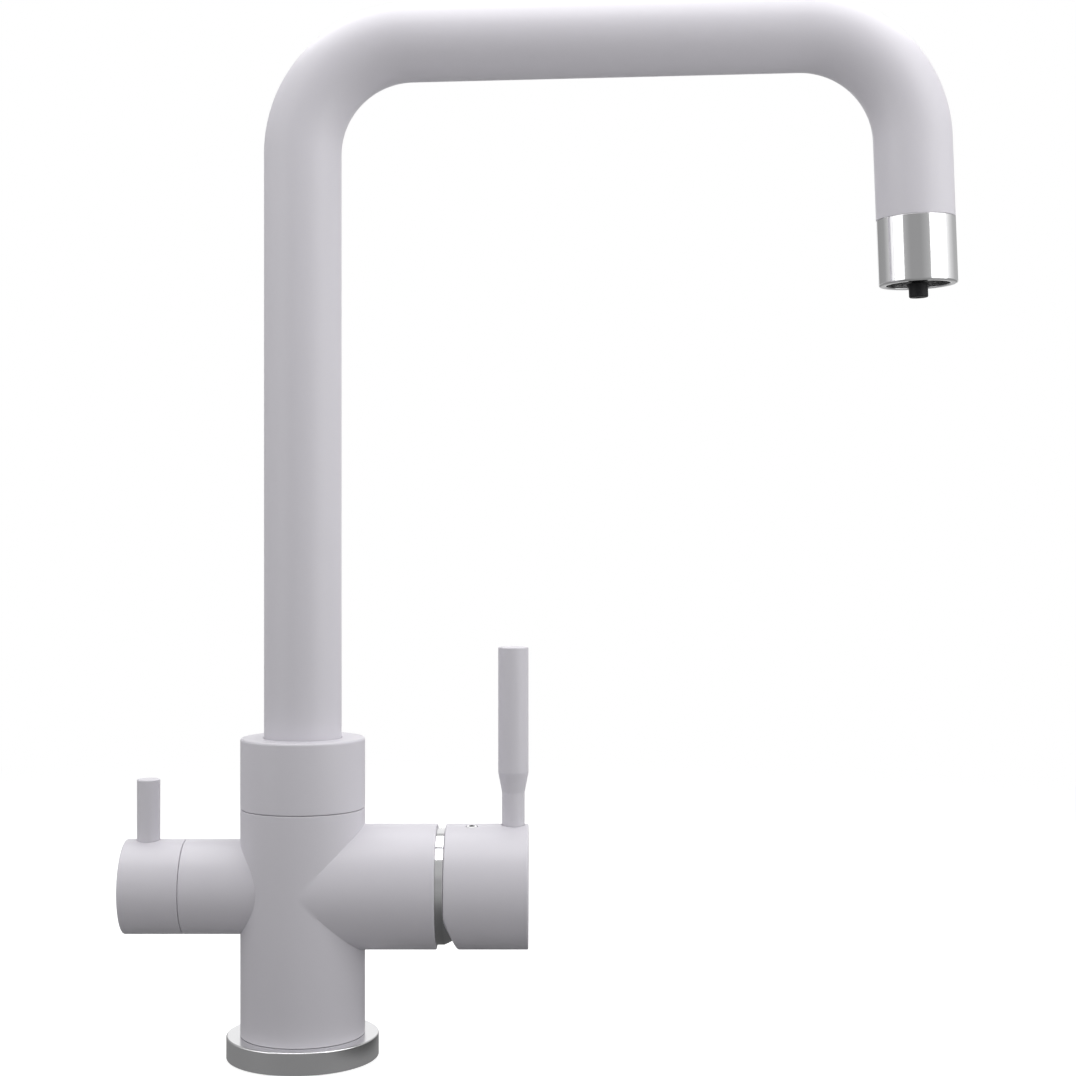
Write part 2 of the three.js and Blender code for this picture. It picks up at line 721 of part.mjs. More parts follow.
// Index plug over the screw, flush with the cap, with a small dimple in the middle.
function indexPlug() {
  const top = leverCapRadius - plugInset;
  const { radius, depth } = plugDimple;
  return turned([[0, top - plugLength], [leverScrewRadius, top - plugLength],
    [leverScrewRadius, top], [radius, top], [radius, top - depth], [0, top - depth]], smallSides)
    .translate(leverScrewX, 0, 0);
}

// ---------------------------------------------------------------- filter valve

// Distances outwards along the filter arm
const seatSealAt = filterPocketFloor + seatGap;
const bonnetAt = seatSealAt + seatSealThickness + seatGap;
const bonnetEnd = filterArmEnd - seatGap;
const filterFixedDiscAt = bonnetAt + seatGap;
const filterMovingDiscAt = filterFixedDiscAt + filterDiscThickness + seatGap;
const stemFlangeAt = filterMovingDiscAt + filterDiscThickness + seatGap;
const stemFlangeEnd = stemFlangeAt + stemFlangeThickness;
const bonnetChamberEnd = stemFlangeEnd + bonnetChamberLength;
const stemRingAt = (bonnetChamberEnd + bonnetEnd) / 2;
const knobStart = filterArmEnd + seatGap;
const knobEnd = knobStart + knobLength;
const stemEnd = pinReach + stemTail;
const stemFlat = filterStemRadius - stemFlatDepth;

function seatSeal() {
  return turnedMinusX(ringProfile(feedRadius + 0.2, bonnetBoreRadius - 0.4, seatSealAt,
    seatSealAt + seatSealThickness), smallSides);
}

// Valve body: chamber for the discs, two outlet windows in its wall, threaded flange.
function bonnet() {
  const flangeAt = bonnetEnd - bonnetFlangeLength;
  const blank = turnedMinusX([
    [bonnetBoreRadius, bonnetAt], [bonnetRadius, bonnetAt], [bonnetRadius, flangeAt],
    [filterPocketRadius - seatGap, flangeAt], [filterPocketRadius - seatGap, bonnetEnd],
    [filterStemRadius + seatGap, bonnetEnd], [filterStemRadius + seatGap, bonnetChamberEnd],
    [bonnetBoreRadius, bonnetChamberEnd],
  ], smallSides);
  const windowAt = -(stemFlangeEnd + bonnetChamberEnd) / 2;
  const windows = bar(bonnetWindowRadius, [windowAt, 0, -bonnetRadius - 1],
    [windowAt, 0, bonnetRadius + 1]);
  return cut(blank, windows);
}

// Ceramic disc of the filter valve with its two opposite ports.
function filterDisc(at, radius) {
  const end = at + filterDiscThickness;
  const blank = turnedMinusX([[0, at], [radius, at], [radius, end], [0, end]], smallSides);
  const ports = [-1, 1].map((side) => bar(radius * 0.28, [-at + 1, side * radius * 0.5, 0],
    [-end - 1, side * radius * 0.5, 0]));
  return cut(blank, ...ports);
}

function filterStem() {
  const groove = filterStemRadius - stemGroove.depth;
  const [grooveFrom, grooveTo] = [-0.5, 0.5].map((side) => stemRingAt + side * stemGroove.width);
  const blank = turnedMinusX([
    [0, stemFlangeAt], [bonnetBoreRadius - 2 * seatGap, stemFlangeAt],
    [bonnetBoreRadius - 2 * seatGap, stemFlangeEnd], [filterStemRadius, stemFlangeEnd],
    [filterStemRadius, grooveFrom], [groove, grooveFrom],
    [groove, grooveTo], [filterStemRadius, grooveTo],
    [filterStemRadius, stemEnd], [0, stemEnd],
  ], smallSides);
  const flat = block([-stemEnd - 1, -filterStemRadius - 1, stemFlat],
    [-pinReach + pinRadius, filterStemRadius + 1, filterStemRadius + 1]);
  return cut(blank, flat);
}

function stemRing() {
  return oRing(filterStemRadius - 0.42, stemRingSection, stemRingAt, smallSides).rotateY(-Math.PI / 2);
}

// Knob with a hub on the spindle; the pin screws through it onto the spindle's flat.
function filterKnob() {
  const solidFrom = knobEnd - knobSolid;
  const hubStart = knobStart + knobHubSetback;
  const boreRadius = filterStemRadius + seatGap;
  const blank = turnedMinusX([
    [boreRadius, hubStart], [hubRadius, hubStart], [hubRadius, solidFrom],
    [filterArmRadius - knobWall, solidFrom], [filterArmRadius - knobWall, knobStart],
    [filterArmRadius - edge, knobStart], [filterArmRadius, knobStart + edge],
    [filterArmRadius, knobEnd - edge], [filterArmRadius - edge, knobEnd], [0, knobEnd],
    [0, stemEnd + seatGap], [boreRadius, stemEnd + seatGap],
  ], largeSides);
  const thread = bar(pinThreadRadius + seatGap, [-pinReach, 0, stemFlat],
    [-pinReach, 0, filterArmRadius + 1]);
  const spotFace = bar(pinRadius + seatGap, [-pinReach, 0, pinSeat()],
    [-pinReach, 0, filterArmRadius + 1], smallSides);
  return cut(blank, thread, spotFace);
}

// Height of the pin's seat over the arm's axis
function pinSeat() {
  return filterArmRadius - pinSeatDepth;
}

function filterPin() {
  const shoulder = pinSeat() + seatGap;
  const top = pinTop - armHeight;
  return turned([
    [0, stemFlat + seatGap], [pinThreadRadius, stemFlat + seatGap],
    [pinThreadRadius, shoulder], [pinRadius, shoulder], [pinRadius, top - edge],
    [pinRadius - edge, top], [0, top],
  ]).translate(-pinReach, 0, 0);
}

// ---------------------------------------------------------------- spout

// Centre line of the spout in its own plane: riser, bend, run, bend, outlet leg. It is stepped
// finely through the bends only. offsetAt gives the distance from the centre line to the outer
// side of the bends, at a fraction of the way from foot to outlet.
class SpoutLine extends THREE.Curve {
  constructor(footHeight, extraLength, bendSteps, runSteps, offsetAt) {
    super();
    this.offsetAt = offsetAt;
    const rise = radians(runRise);
    const fall = radians(outletLean - 90);
    this.stations = [];
    const first = Math.PI / 2 - rise;
    const second = rise - fall;
    const firstTangent = bendRadius * Math.tan(first / 2);
    const secondTangent = bendRadius * Math.tan(second / 2);
    const riser = runHeight - footHeight - firstTangent;
    const run = runLength - firstTangent - secondTangent;
    const leg = outletLegLength - secondTangent + extraLength;
    this.place = { x: 0, z: footHeight, heading: Math.PI / 2 };
    this.note();
    this.straight(riser, 1);
    this.bend(first, bendSteps);
    this.straight(run, runSteps);
    this.bend(second, bendSteps);
    this.straight(leg, 1);
  }

  note() {
    this.stations.push({ ...this.place });
  }

  straight(length, steps) {
    for (let i = 0; i < steps; i++) {
      this.place.x += (length / steps) * Math.cos(this.place.heading);
      this.place.z += (length / steps) * Math.sin(this.place.heading);
      this.note();
    }
  }

  bend(angle, steps) {
    const step = angle / steps;
    const chord = 2 * bendRadius * Math.sin(step / 2);
    for (let i = 0; i < steps; i++) {
      this.place.x += chord * Math.cos(this.place.heading - step / 2);
      this.place.z += chord * Math.sin(this.place.heading - step / 2);
      this.place.heading -= step;
      this.note();
    }
  }

  get steps() {
    return this.stations.length - 1;
  }

  stationAt(u) {
    return this.stations[Math.round(u * this.steps)];
  }

  getPointAt(u, target = new THREE.Vector3()) {
    const { x, z, heading } = this.stationAt(u);
    const offset = this.offsetAt(u);
    return target.set(x - offset * Math.sin(heading), 0, z + offset * Math.cos(heading));
  }

  getTangentAt(u, target = new THREE.Vector3()) {
    const { heading } = this.stationAt(u);
    return target.set(Math.cos(heading), 0, Math.sin(heading));
  }
}

function hollowSweep(line, radius, boreRadius, sides, boreSides) {
  const section = new THREE.Shape(ringPoints(radius, sides));
  section.holes.push(new THREE.Path(ringPoints(boreRadius, boreSides)));
  return new THREE.ExtrudeGeometry(section, { steps: line.steps, extrudePath: line });
}

const tubeFoot = collarBottom + tubeFootRise;
const spigotFlangeRadius = tubeRadius + spigotFlangeWidth;
const spigotFlangeTop = tubeFoot + spigotFlangeGrip;

function tubeLine() {
  return new SpoutLine(tubeFoot, 0, bendSteps, 1, () => 0);
}

function spoutTube() {
  return hollowSweep(tubeLine(), tubeRadius, tubeBoreRadius, largeSides, smallSides);
}

// Inner tube for filtered water: it starts beside the spout's axis, in the spigot's boss, and
// is centred on the outlet by its end.
function filterTube() {
  const settle = (u) => filterTubeOffset * (1 - THREE.MathUtils.smoothstep(u, 0.35, 0.65));
  const line = new SpoutLine(spigotBottom + 9.1, filterTubeReach, 6, 4, settle);
  return hollowSweep(line, filterTubeRadius, filterTubeBoreRadius, innerTubeSides,
    innerTubeSides);
}

function collar() {
  const inner = tubeRadius + runGap;
  const flangeSeat = spigotFlangeRadius + seatGap;
  const seatTop = spigotFlangeTop + seatGap;
  return turned([
    [flangeSeat, collarBottom], [bodyRadius - edge, collarBottom],
    [bodyRadius, collarBottom + edge], [bodyRadius, collarTop - edge],
    [bodyRadius - edge, collarTop],
    [inner, collarTop], [inner, seatTop], [flangeSeat, seatTop],
  ], largeSides);
}

// Brass spigot that turns in the body. It has grooves for two O-rings, a ring groove between
// them for filtered water, and a groove for the retaining screw. Mixed water rises through the
// bore, filtered water through the boss at its side.
function spigot() {
  const radius = swivelBoreRadius - seatGap;
  const groove = (middle, depth) => [
    [radius, middle - grooveWidth / 2], [radius - depth, middle - grooveWidth / 2],
    [radius - depth, middle + grooveWidth / 2], [radius, middle + grooveWidth / 2],
  ];
  const blank = turned([
    [spigotBoreRadius, spigotBottom], [radius, spigotBottom],
    ...groove(lowerRingAt, oRingGrooveDepth), ...groove(filterRingAt, filterGrooveDepth),
    ...groove(upperRingAt, oRingGrooveDepth), ...groove(retainerAt, retainerGrooveDepth),
    [radius, collarBottom + seatGap], [spigotFlangeRadius, collarBottom + seatGap],
    [spigotFlangeRadius, spigotFlangeTop], [tubeRadius + seatGap, spigotFlangeTop],
    [tubeRadius + seatGap, tubeFoot - seatGap], [spigotBoreRadius, tubeFoot - seatGap],
  ], mediumSides);
  const bossBottom = spigotBottom + 3;
  const bossTop = retainerAt + 4;
  const x = -filterTubeOffset;
  const boss = bar(filterTubeRadius + 1.4, [x, 0, bossBottom], [x, 0, bossTop], smallSides);
  const stepAt = spigotBottom + 8.8;
  const tubeSocket = bar(filterTubeRadius + seatGap, [x, 0, stepAt], [x, 0, tubeFoot]);
  const riser = bar(filterTubeBoreRadius, [x, 0, bossBottom + 0.9], [x, 0, stepAt + 1]);
  const feed = bar(filterCrossRadius, [x, 0, filterRingAt], [-radius - 1, 0, filterRingAt]);
  return cut(join(blank, boss), tubeSocket, riser, feed);
}

function spigotRing(height) {
  return oRing(swivelBoreRadius - oRingSection - 0.15, oRingSection, height, mediumSides);
}

// ---------------------------------------------------------------- outlet, down from the tube's end

const shellBottom = -outletLength;
const lipTop = shellBottom + outletWall;
const aeratorBottom = lipTop + seatGap;
const aeratorTop = aeratorBottom + aeratorLength;
const shellBoreRadius = tubeRadius - outletWall;
const lipRadius = shellBoreRadius - outletLip;

function outletShell() {
  return turned([
    [lipRadius, shellBottom], [tubeRadius - edge, shellBottom],
    [tubeRadius, shellBottom + edge], [tubeRadius, -seatGap - outletSeamEdge],
    [tubeRadius - outletSeamEdge, -seatGap], [shellBoreRadius, -seatGap],
    [shellBoreRadius, lipTop], [lipRadius, lipTop],
  ], ringSides);
}

function outletSleeve() {
  const outer = tubeBoreRadius - runGap;
  return turned(ringProfile(outer - sleeveWall, outer, -sleeveGrip, sleeveGrip), mediumSides);
}

function outletSeal() {
  const outer = tubeBoreRadius - runGap;
  return turned(ringProfile(outer - sleeveWall, outer, aeratorTop + seatGap,
    -sleeveGrip - seatGap), mediumSides);
}

// Insert that lets mixed water out through a ring of holes, round the filtered water nozzle.
function aerator() {
  const radius = shellBoreRadius - seatGap;
  const nose = lipRadius - seatGap;
  const noseBottom = shellBottom + aeratorNose;
  const stem = nozzleStemRadius + seatGap;
  const blank = turned([
    [stem, noseBottom], [nose, noseBottom], [nose, aeratorBottom], [radius, aeratorBottom],
    [radius, aeratorTop], [stem, aeratorTop],
  ], mediumSides);
  const holes = [];
  for (let i = 0; i < aeratorHoleCount; i++) {
    const angle = (2 * Math.PI * i) / aeratorHoleCount;
    const x = aeratorHoleCircle * Math.cos(angle);
    const y = aeratorHoleCircle * Math.sin(angle);
    holes.push(bar(aeratorHoleRadius, [x, y, noseBottom - 1], [x, y, aeratorTop + 1],
      6));
  }
  return cut(blank, ...holes);
}

function nozzle() {
  const bottom = shellBottom - nozzleReach;
  const shoulder = shellBottom + aeratorNose - seatGap;
  const stem = nozzleStemRadius;
  const barb = filterTubeBoreRadius - 2 * seatGap;
  const barbStart = -filterTubeReach - seatGap;
  return turned([
    [nozzleBoreRadius, bottom], [nozzleRadius - smallEdge, bottom],
    [nozzleRadius, bottom + smallEdge],
    [nozzleRadius, shoulder], [stem, shoulder], [stem, barbStart], [barb, barbStart],
    [barb, barbStart + barbLength], [nozzleBoreRadius, barbStart + barbLength],
  ], smallSides);
}

function outlet() {
  const head = group(
    piece('outlet_sleeve', outletSleeve(), brass),
    piece('outlet_seal', outletSeal(), blackRubber),
    piece('aerator_insert', aerator(), blackPlastic),
    piece('outlet_shell', outletShell(), chrome),
    piece('filter_nozzle', nozzle(), blackPlastic),
  );
  head.position.copy(tubeLine().getPointAt(1));
  head.rotation.y = -radians(outletLean);
  return head;
}

// ---------------------------------------------------------------- the tap

const body = group(
  piece('main_body', mainBody(), whiteCoat),
  piece('swivel_washer', swivelWasher(), greyPlastic),
  piece('spout_grub_screw', spoutScrew(), steel),
);

const cartridge = group(
  piece('cartridge_port_seal', portSeal(), blackRubber),
  piece('cartridge_base', cartridgeBase(), greyPlastic),
  piece('cartridge_fixed_disc', fixedDisc(), ceramic),
  piece('cartridge_moving_disc', movingDisc(), ceramic),
  piece('cartridge_disc_driver', discDriver(), greyPlastic),
  piece('cartridge_housing', cartridgeHousing(), greyPlastic),
  piece('cartridge_carrier', carrier(), greyPlastic),
  piece('cartridge_pivot_pin', pivotPin(), steel),
  piece('cartridge_spindle', spindle(), steel),
  piece('cartridge_nut', cartridgeNut(), brass),
  piece('trim_ring', trimRing(), chrome),
);

const lever = group(
  piece('lever_cap', leverCap(), whiteCoat),
  piece('lever_rod', leverRod(), whiteCoat),
  piece('lever_grub_screw', leverScrew(), steel),
  piece('index_plug', indexPlug(), greyPlastic),
);

const filterValve = group(
  piece('filter_seat_seal', seatSeal(), blackRubber),
  piece('filter_bonnet', bonnet(), brass),
  piece('filter_fixed_disc', filterDisc(filterFixedDiscAt, bonnetBoreRadius - seatGap), ceramic),
  piece('filter_moving_disc', filterDisc(filterMovingDiscAt, bonnetBoreRadius - 0.5), ceramic),
  piece('filter_stem', filterStem(), brass),
  piece('filter_stem_o_ring', stemRing(), blackRubber),
  piece('filter_knob', filterKnob(), whiteCoat),
  piece('filter_pin', filterPin(), whiteCoat),
);

const arms = group(cartridge, lever, filterValve);
arms.position.z = armHeight;

const spout = group(
  piece('spout_collar', collar(), whiteCoat),
  piece('spout_spigot', spigot(), brass),
  piece('spigot_o_ring_lower', spigotRing(lowerRingAt), blackRubber),
  piece('spigot_o_ring_upper', spigotRing(upperRingAt), blackRubber),
  piece('spout_tube', spoutTube(), whiteCoat),
  piece('filter_water_tube', filterTube(), clearTube),
  outlet(),
);
spout.rotation.z = radians(spoutSwing);

export default group(baseKit(), body, arms, spout);
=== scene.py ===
import json
import math

import bmesh
import bpy
import numpy as np
from mathutils import Matrix, Vector


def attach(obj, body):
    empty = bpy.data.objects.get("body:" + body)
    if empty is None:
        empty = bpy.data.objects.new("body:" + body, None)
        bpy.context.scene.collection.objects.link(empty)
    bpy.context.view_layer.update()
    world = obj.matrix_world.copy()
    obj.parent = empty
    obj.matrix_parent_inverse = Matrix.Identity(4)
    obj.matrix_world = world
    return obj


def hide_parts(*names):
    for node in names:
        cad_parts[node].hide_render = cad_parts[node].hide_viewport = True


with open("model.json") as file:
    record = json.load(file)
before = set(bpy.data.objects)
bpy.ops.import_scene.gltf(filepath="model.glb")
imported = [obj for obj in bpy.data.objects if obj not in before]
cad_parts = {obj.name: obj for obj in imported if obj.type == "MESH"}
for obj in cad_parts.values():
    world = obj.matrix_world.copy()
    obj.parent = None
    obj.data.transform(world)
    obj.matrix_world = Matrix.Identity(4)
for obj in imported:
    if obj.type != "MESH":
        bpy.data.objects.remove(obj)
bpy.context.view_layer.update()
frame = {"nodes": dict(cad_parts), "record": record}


# ---------------------------------------------------------------- worktop, backdrop and light
# The tap stands on a pale worktop with painted shade round the tap, in front of a white
# backdrop. One wide soft panel hangs over it and one stands on each side of the lens, in a
# plain grey studio. The lens looks level at mid height, 0.67 m in front of the tap's axis, as in
# the photograph.

PHOTO_SIZE = 1076
FOCAL_PIXELS = 1852.7
SENSOR = 36.0
CAMERA_PLACE = (0.08546, -0.67356, 0.1882)
CLIP_START = 0.01

WHITE = (1, 1, 1, 1)
FLOOR_HALF_WIDTH = 6.0
# To matt surfaces the worktop is a grey that grows lighter over this distance from the tap:
# painted shade, darker round the tap's foot.
FLOOR_NEAR_SHADE = (0.22, 0.22, 0.22, 1)
FLOOR_FAR = (0.62, 0.62, 0.62, 1)
FLOOR_TONE_REACH = (0.05, 0.60)
# To the lens it is a grey that takes shadows, with a glow that makes it white, and pure white
# beyond the shadow's reach.
SHADOWED_GREY = (0.5, 0.5, 0.5, 1)
SHADOWED_GLOW = 0.8
SHADOW_REACH = (0.25, 0.9)
# To mirrors it glows with these greys, a painted reflection of the worktop: painted shade near
# the tap, a painted shadow under the mixer arm, and white from far behind the tap.
MIRRORED_NEAR_SHADE = (0.25, 0.25, 0.25, 1)
MIRRORED_FAR = (0.33, 0.33, 0.33, 1)
MIRRORED_ARM_SHADOW = (0.08, 0.08, 0.08, 1)
ARM_SHADE_FROM = (0.03, 0.05)
ARM_SHADE_REACH = (0.04, 0.25)
BACKDROP_FROM = (1.4, 4.0)
# The backdrop as mirrors see it: degrees from straight towards the lens, and upward slope.
BACKDROP_WIDTH = (160, 168)
BACKDROP_TOP = (0.60, 0.70)
# The studio's ceiling, and where the walls end, as an upward slope.
CEILING = 0.15
MIRRORED_CEILING = 0.52
CEILING_FROM = (0.30, 0.62)
# Level of the walls at each number of degrees from straight towards the lens, to the right. It
# is low where the side panels hang and high next to them.
WALLS = ((-180, 0.30), (-120, 0.38), (-100, 0.65), (-85, 1.3), (-76, 0.1), (-56, 0.1),
         (-48, 0.5), (-30, 0.36), (0, 0.36), (20, 0.48), (32, 0.55), (36, 0.1), (76, 0.1),
         (80, 1.3), (100, 0.8), (120, 0.52), (180, 0.42))
# What the walls behind the tap give to matt surfaces on top of that, and from how many degrees.
BACK_WALL = 0.45
BACK_WALL_FROM = (95, 120)
# Each panel's name, place, the point that it faces, width and height, and power.
PANELS = (
    ("overhead_panel", (0.10, 0.09, 0.75), (0.10, 0.09, 0.2), (0.90, 0.86), 5.9),
    ("left_panel", (-0.813, -0.489, 0.46), (-0.003, -0.097, 0.42), (0.63, 0.90), 2.45364),
    ("right_panel", (0.748, -0.425, 0.46), (0.032, -0.069, 0.42), (0.68, 0.90), 3.2793),
)


class Term:
    """A shader socket that takes part in sums: + - * and / add Math nodes."""

    def __init__(self, tree, socket):
        self.tree = tree
        self.socket = socket

    def math(self, operation, *others):
        terms = dict(enumerate((self,) + others))
        return node(self.tree, "ShaderNodeMath", {"operation": operation}, terms)

    def __add__(self, other):
        return self.math("ADD", other)

    def __sub__(self, other):
        return self.math("SUBTRACT", other)

    def __mul__(self, other):
        return self.math("MULTIPLY", other)

    def __truediv__(self, other):
        return self.math("DIVIDE", other)

    def __rsub__(self, other):
        return (self * -1.0) + other

    __radd__ = __add__
    __rmul__ = __mul__

    def clamped(self):
        return self.math("MAXIMUM", 0.0).math("MINIMUM", 1.0)


def node(tree, kind, settings=None, inputs=None, output=0):
    """Adds one shader node: its settings first, then its sockets' values or links."""
    made = tree.nodes.new(kind)
    for key, value in (settings or {}).items():
        if key == "stops":
            ramp = made.color_ramp.elements
            while len(ramp) < len(value):
                ramp.new(0.5)
            for element, (place, shade) in zip(ramp, value):
                element.position = place
                element.color = shade
        else:
            setattr(made, key, value)
    for key, value in (inputs or {}).items():
        if isinstance(value, Term):
            tree.links.new(value.socket, made.inputs[key])
        else:
            made.inputs[key].default_value = value
    return Term(tree, made.outputs[output]) if made.outputs else None


def mix_colour(tree, factor, first, second):
    """The Mix node in its colour mode, whose result is its third output."""
    return node(tree, "ShaderNodeMix", {"data_type": "RGBA"},
                {"Factor": factor, "A": first, "B": second}, output=2)


def mix_shader(tree, factor, first, second):
    """The first shader at factor 0, the second at 1."""
    return node(tree, "ShaderNodeMixShader", None, {0: factor, 1: first, 2: second})


def smooth_step(tree, value, low, high):
    """0 below low, 1 above high, and a smooth ramp between."""
    return node(tree, "ShaderNodeMapRange", {"interpolation_type": "SMOOTHSTEP"},
                {"Value": value, "From Min": low, "From Max": high})


def lens_and_mirror(tree):
    """1 for the lens' own rays, and 1 for rays that come off metal or through glass."""
    lens, glossy, through = (node(tree, "ShaderNodeLightPath", output=f"Is {kind} Ray")
                             for kind in ("Camera", "Glossy", "Transmission"))
    return lens, (glossy + through).clamped()


def empty_material(name):
    """A new material and its node tree, cleared."""
    made = bpy.data.materials.new(name)
    made.use_nodes = True
    made.node_tree.nodes.clear()
    return made, made.node_tree


def worktop_material():
    """White to the lens, with the tap's soft shadow. Matt surfaces see a grey with painted
    shade, darker near the tap. Mirrors see painted greys that glow, a painted reflection with
    painted shade near the tap and a painted shadow under the mixer arm, ending in the white
    backdrop."""
    made, tree = empty_material("pale_worktop")
    place = node(tree, "ShaderNodeTexCoord", output="Object")
    reach = node(tree, "ShaderNodeVectorMath", {"operation": "LENGTH"}, {0: place},
                 output="Value")
    # Painted shade: to matt surfaces the worktop's grey is darker near the tap.
    far = smooth_step(tree, reach, *FLOOR_TONE_REACH)
    grey = node(tree, "ShaderNodeBsdfDiffuse", None,
                {"Color": mix_colour(tree, far, FLOOR_NEAR_SHADE, FLOOR_FAR)})
    matt = node(tree, "ShaderNodeBsdfDiffuse", None, {"Color": SHADOWED_GREY})
    glow = node(tree, "ShaderNodeEmission", None, {"Color": WHITE, "Strength": SHADOWED_GLOW})
    white = node(tree, "ShaderNodeEmission", None, {"Color": WHITE, "Strength": 1.0})
    shadowed = node(tree, "ShaderNodeAddShader", None, {0: matt, 1: glow})
    seen = mix_shader(tree, smooth_step(tree, reach, *SHADOW_REACH), shadowed, white)
    x, y = (node(tree, "ShaderNodeSeparateXYZ", None, {0: place}, output=axis)
            for axis in ("X", "Y"))
    # Painted shadow under the mixer arm and painted shade near the tap, as mirrors see the
    # worktop.
    shade = (smooth_step(tree, x, *ARM_SHADE_FROM)
             * (1 - smooth_step(tree, reach, *ARM_SHADE_REACH)))
    behind = smooth_step(tree, y, *BACKDROP_FROM)
    tone = mix_colour(tree, shade, mix_colour(tree, far, MIRRORED_NEAR_SHADE, MIRRORED_FAR),
                      MIRRORED_ARM_SHADOW)
    # Mirrors see the worktop as a glow of these painted greys: a painted reflection, not a lit
    # surface.
    mirrored = node(tree, "ShaderNodeEmission", None,
                    {"Color": mix_colour(tree, behind, tone, WHITE), "Strength": 1.0})
    lens, mirror = lens_and_mirror(tree)
    pick = mix_shader(tree, lens, mix_shader(tree, mirror, grey, mirrored), seen)
    node(tree, "ShaderNodeOutputMaterial", None, {"Surface": pick})
    return made


def panel(name, place, aim, size, power):
    """Soft light panel that faces a point."""
    light = bpy.data.lights.new(name, "AREA")
    light.shape = "RECTANGLE"
    light.size, light.size_y = size
    light.energy = power
    lamp = bpy.data.objects.new(name, light)
    lamp.location = place
    lamp.rotation_euler = (Vector(aim) - Vector(place)).to_track_quat("-Z", "Y").to_euler()
    lamp.visible_camera = False
    bpy.context.scene.collection.objects.link(lamp)


def studio_world():
    """White to the lens. To the tap it is a studio: a ceiling, and walls whose level changes
    round the horizon, with the white backdrop behind the tap for mirrors."""
    world = bpy.data.worlds.new("studio")
    bpy.context.scene.world = world
    world.use_nodes = True
    tree = world.node_tree
    tree.nodes.clear()
    way = node(tree, "ShaderNodeTexCoord", output="Generated")
    x, y, z = (node(tree, "ShaderNodeSeparateXYZ", None, {0: way}, output=axis)
               for axis in ("X", "Y", "Z"))
    round_degrees = node(tree, "ShaderNodeMath", {"operation": "ARCTAN2"},
                         {0: x, 1: y * -1.0}) * math.degrees(1)
    stops = [((degrees + 180) / 360, (level, level, level, 1)) for degrees, level in WALLS]
    walls = node(tree, "ShaderNodeValToRGB", {"stops": stops},
                 {"Fac": (round_degrees + 180) / 360})
    ceiling = smooth_step(tree, z, *CEILING_FROM)
    lens, mirror = lens_and_mirror(tree)
    overhead = mirror * (MIRRORED_CEILING - CEILING) + CEILING
    aside = round_degrees.math("ABSOLUTE")
    back = smooth_step(tree, aside, *BACK_WALL_FROM) * (1 - mirror) * BACK_WALL
    level = (walls + back) * (1 - ceiling) + ceiling * overhead
    studio = node(tree, "ShaderNodeBackground", None, {"Color": WHITE, "Strength": level})
    white = node(tree, "ShaderNodeBackground", None, {"Color": WHITE, "Strength": 1.0})
    backdrop = (smooth_step(tree, aside, *BACKDROP_WIDTH)
                * (1 - smooth_step(tree, z, *BACKDROP_TOP)))
    pick = mix_shader(tree, (lens + mirror * backdrop).clamped(), studio, white)
    node(tree, "ShaderNodeOutputWorld", None, {"Surface": pick})


def grid_mesh(name, points, wrap_rows=False, wrap_columns=True):
    """One mesh from a grid of points: row i, column j joins its neighbours as a quad."""
    rows, columns = points.shape[:2]
    index = np.arange(rows * columns).reshape(rows, columns)
    if wrap_rows:
        index = np.vstack([index, index[:1]])
    if wrap_columns:
        index = np.hstack([index, index[:, :1]])
    quads = np.stack([index[:-1, :-1], index[:-1, 1:], index[1:, 1:], index[1:, :-1]], axis=-1)
    mesh = bpy.data.meshes.new(name)
    mesh.from_pydata(points.reshape(-1, 3), [], quads.reshape(-1, 4))
    return mesh


camera_data = bpy.data.cameras.new("camera")
camera_data.sensor_width = SENSOR
camera_data.lens = FOCAL_PIXELS * SENSOR / PHOTO_SIZE
camera_data.clip_start = CLIP_START
camera = bpy.data.objects.new("camera", camera_data)
camera.location = CAMERA_PLACE
camera.rotation_euler = (math.pi / 2, 0, 0)
bpy.context.scene.collection.objects.link(camera)
bpy.context.scene.camera = camera
bpy.context.scene.view_settings.view_transform = "Standard"

studio_world()
for each_panel in PANELS:
    panel(*each_panel)

corner = np.array([-FLOOR_HALF_WIDTH, FLOOR_HALF_WIDTH])
floor_points = np.stack(np.meshgrid(corner, corner, indexing="ij") + [np.zeros((2, 2))], axis=-1)
floor = bpy.data.objects.new("worktop",
                             grid_mesh("worktop", floor_points, wrap_columns=False))
floor.data.materials.append(worktop_material())
bpy.context.scene.collection.objects.link(floor)


# ---------------------------------------------------------------- base ring and its seal
# A turned brass ring, chrome plated, that covers the tap hole. A rubber ring in a groove under
# it seals against the worktop. The body stands in the ring on a thinner foot.

mm = 0.001
FOOT_RADIUS = 20.0 * mm
FOOT_GAP = 0.3 * mm
RING_RADIUS = 27.5 * mm
RING_BOTTOM = 0.4 * mm
RING_TOP = 8.5 * mm
RING_EDGE = 0.5 * mm
GROOVE_INNER = 21.5 * mm
GROOVE_OUTER = 26.0 * mm
GROOVE_TOP = 2.6 * mm
SEAL_INNER = 21.8 * mm
SEAL_OUTER = 25.7 * mm
SEAL_BOTTOM = 0.02 * mm
SEAL_TOP = 2.3 * mm
SEAL_EDGE = 0.5 * mm
CRISP_EDGE = 0.2 * mm
SEAM_EDGE = 0.3 * mm
MERGE_REACH = 2e-6
SLIVER = 1e-7
# Sides of the pieces that show most and of plainer ones.
FINE = 128
PLAIN = 96


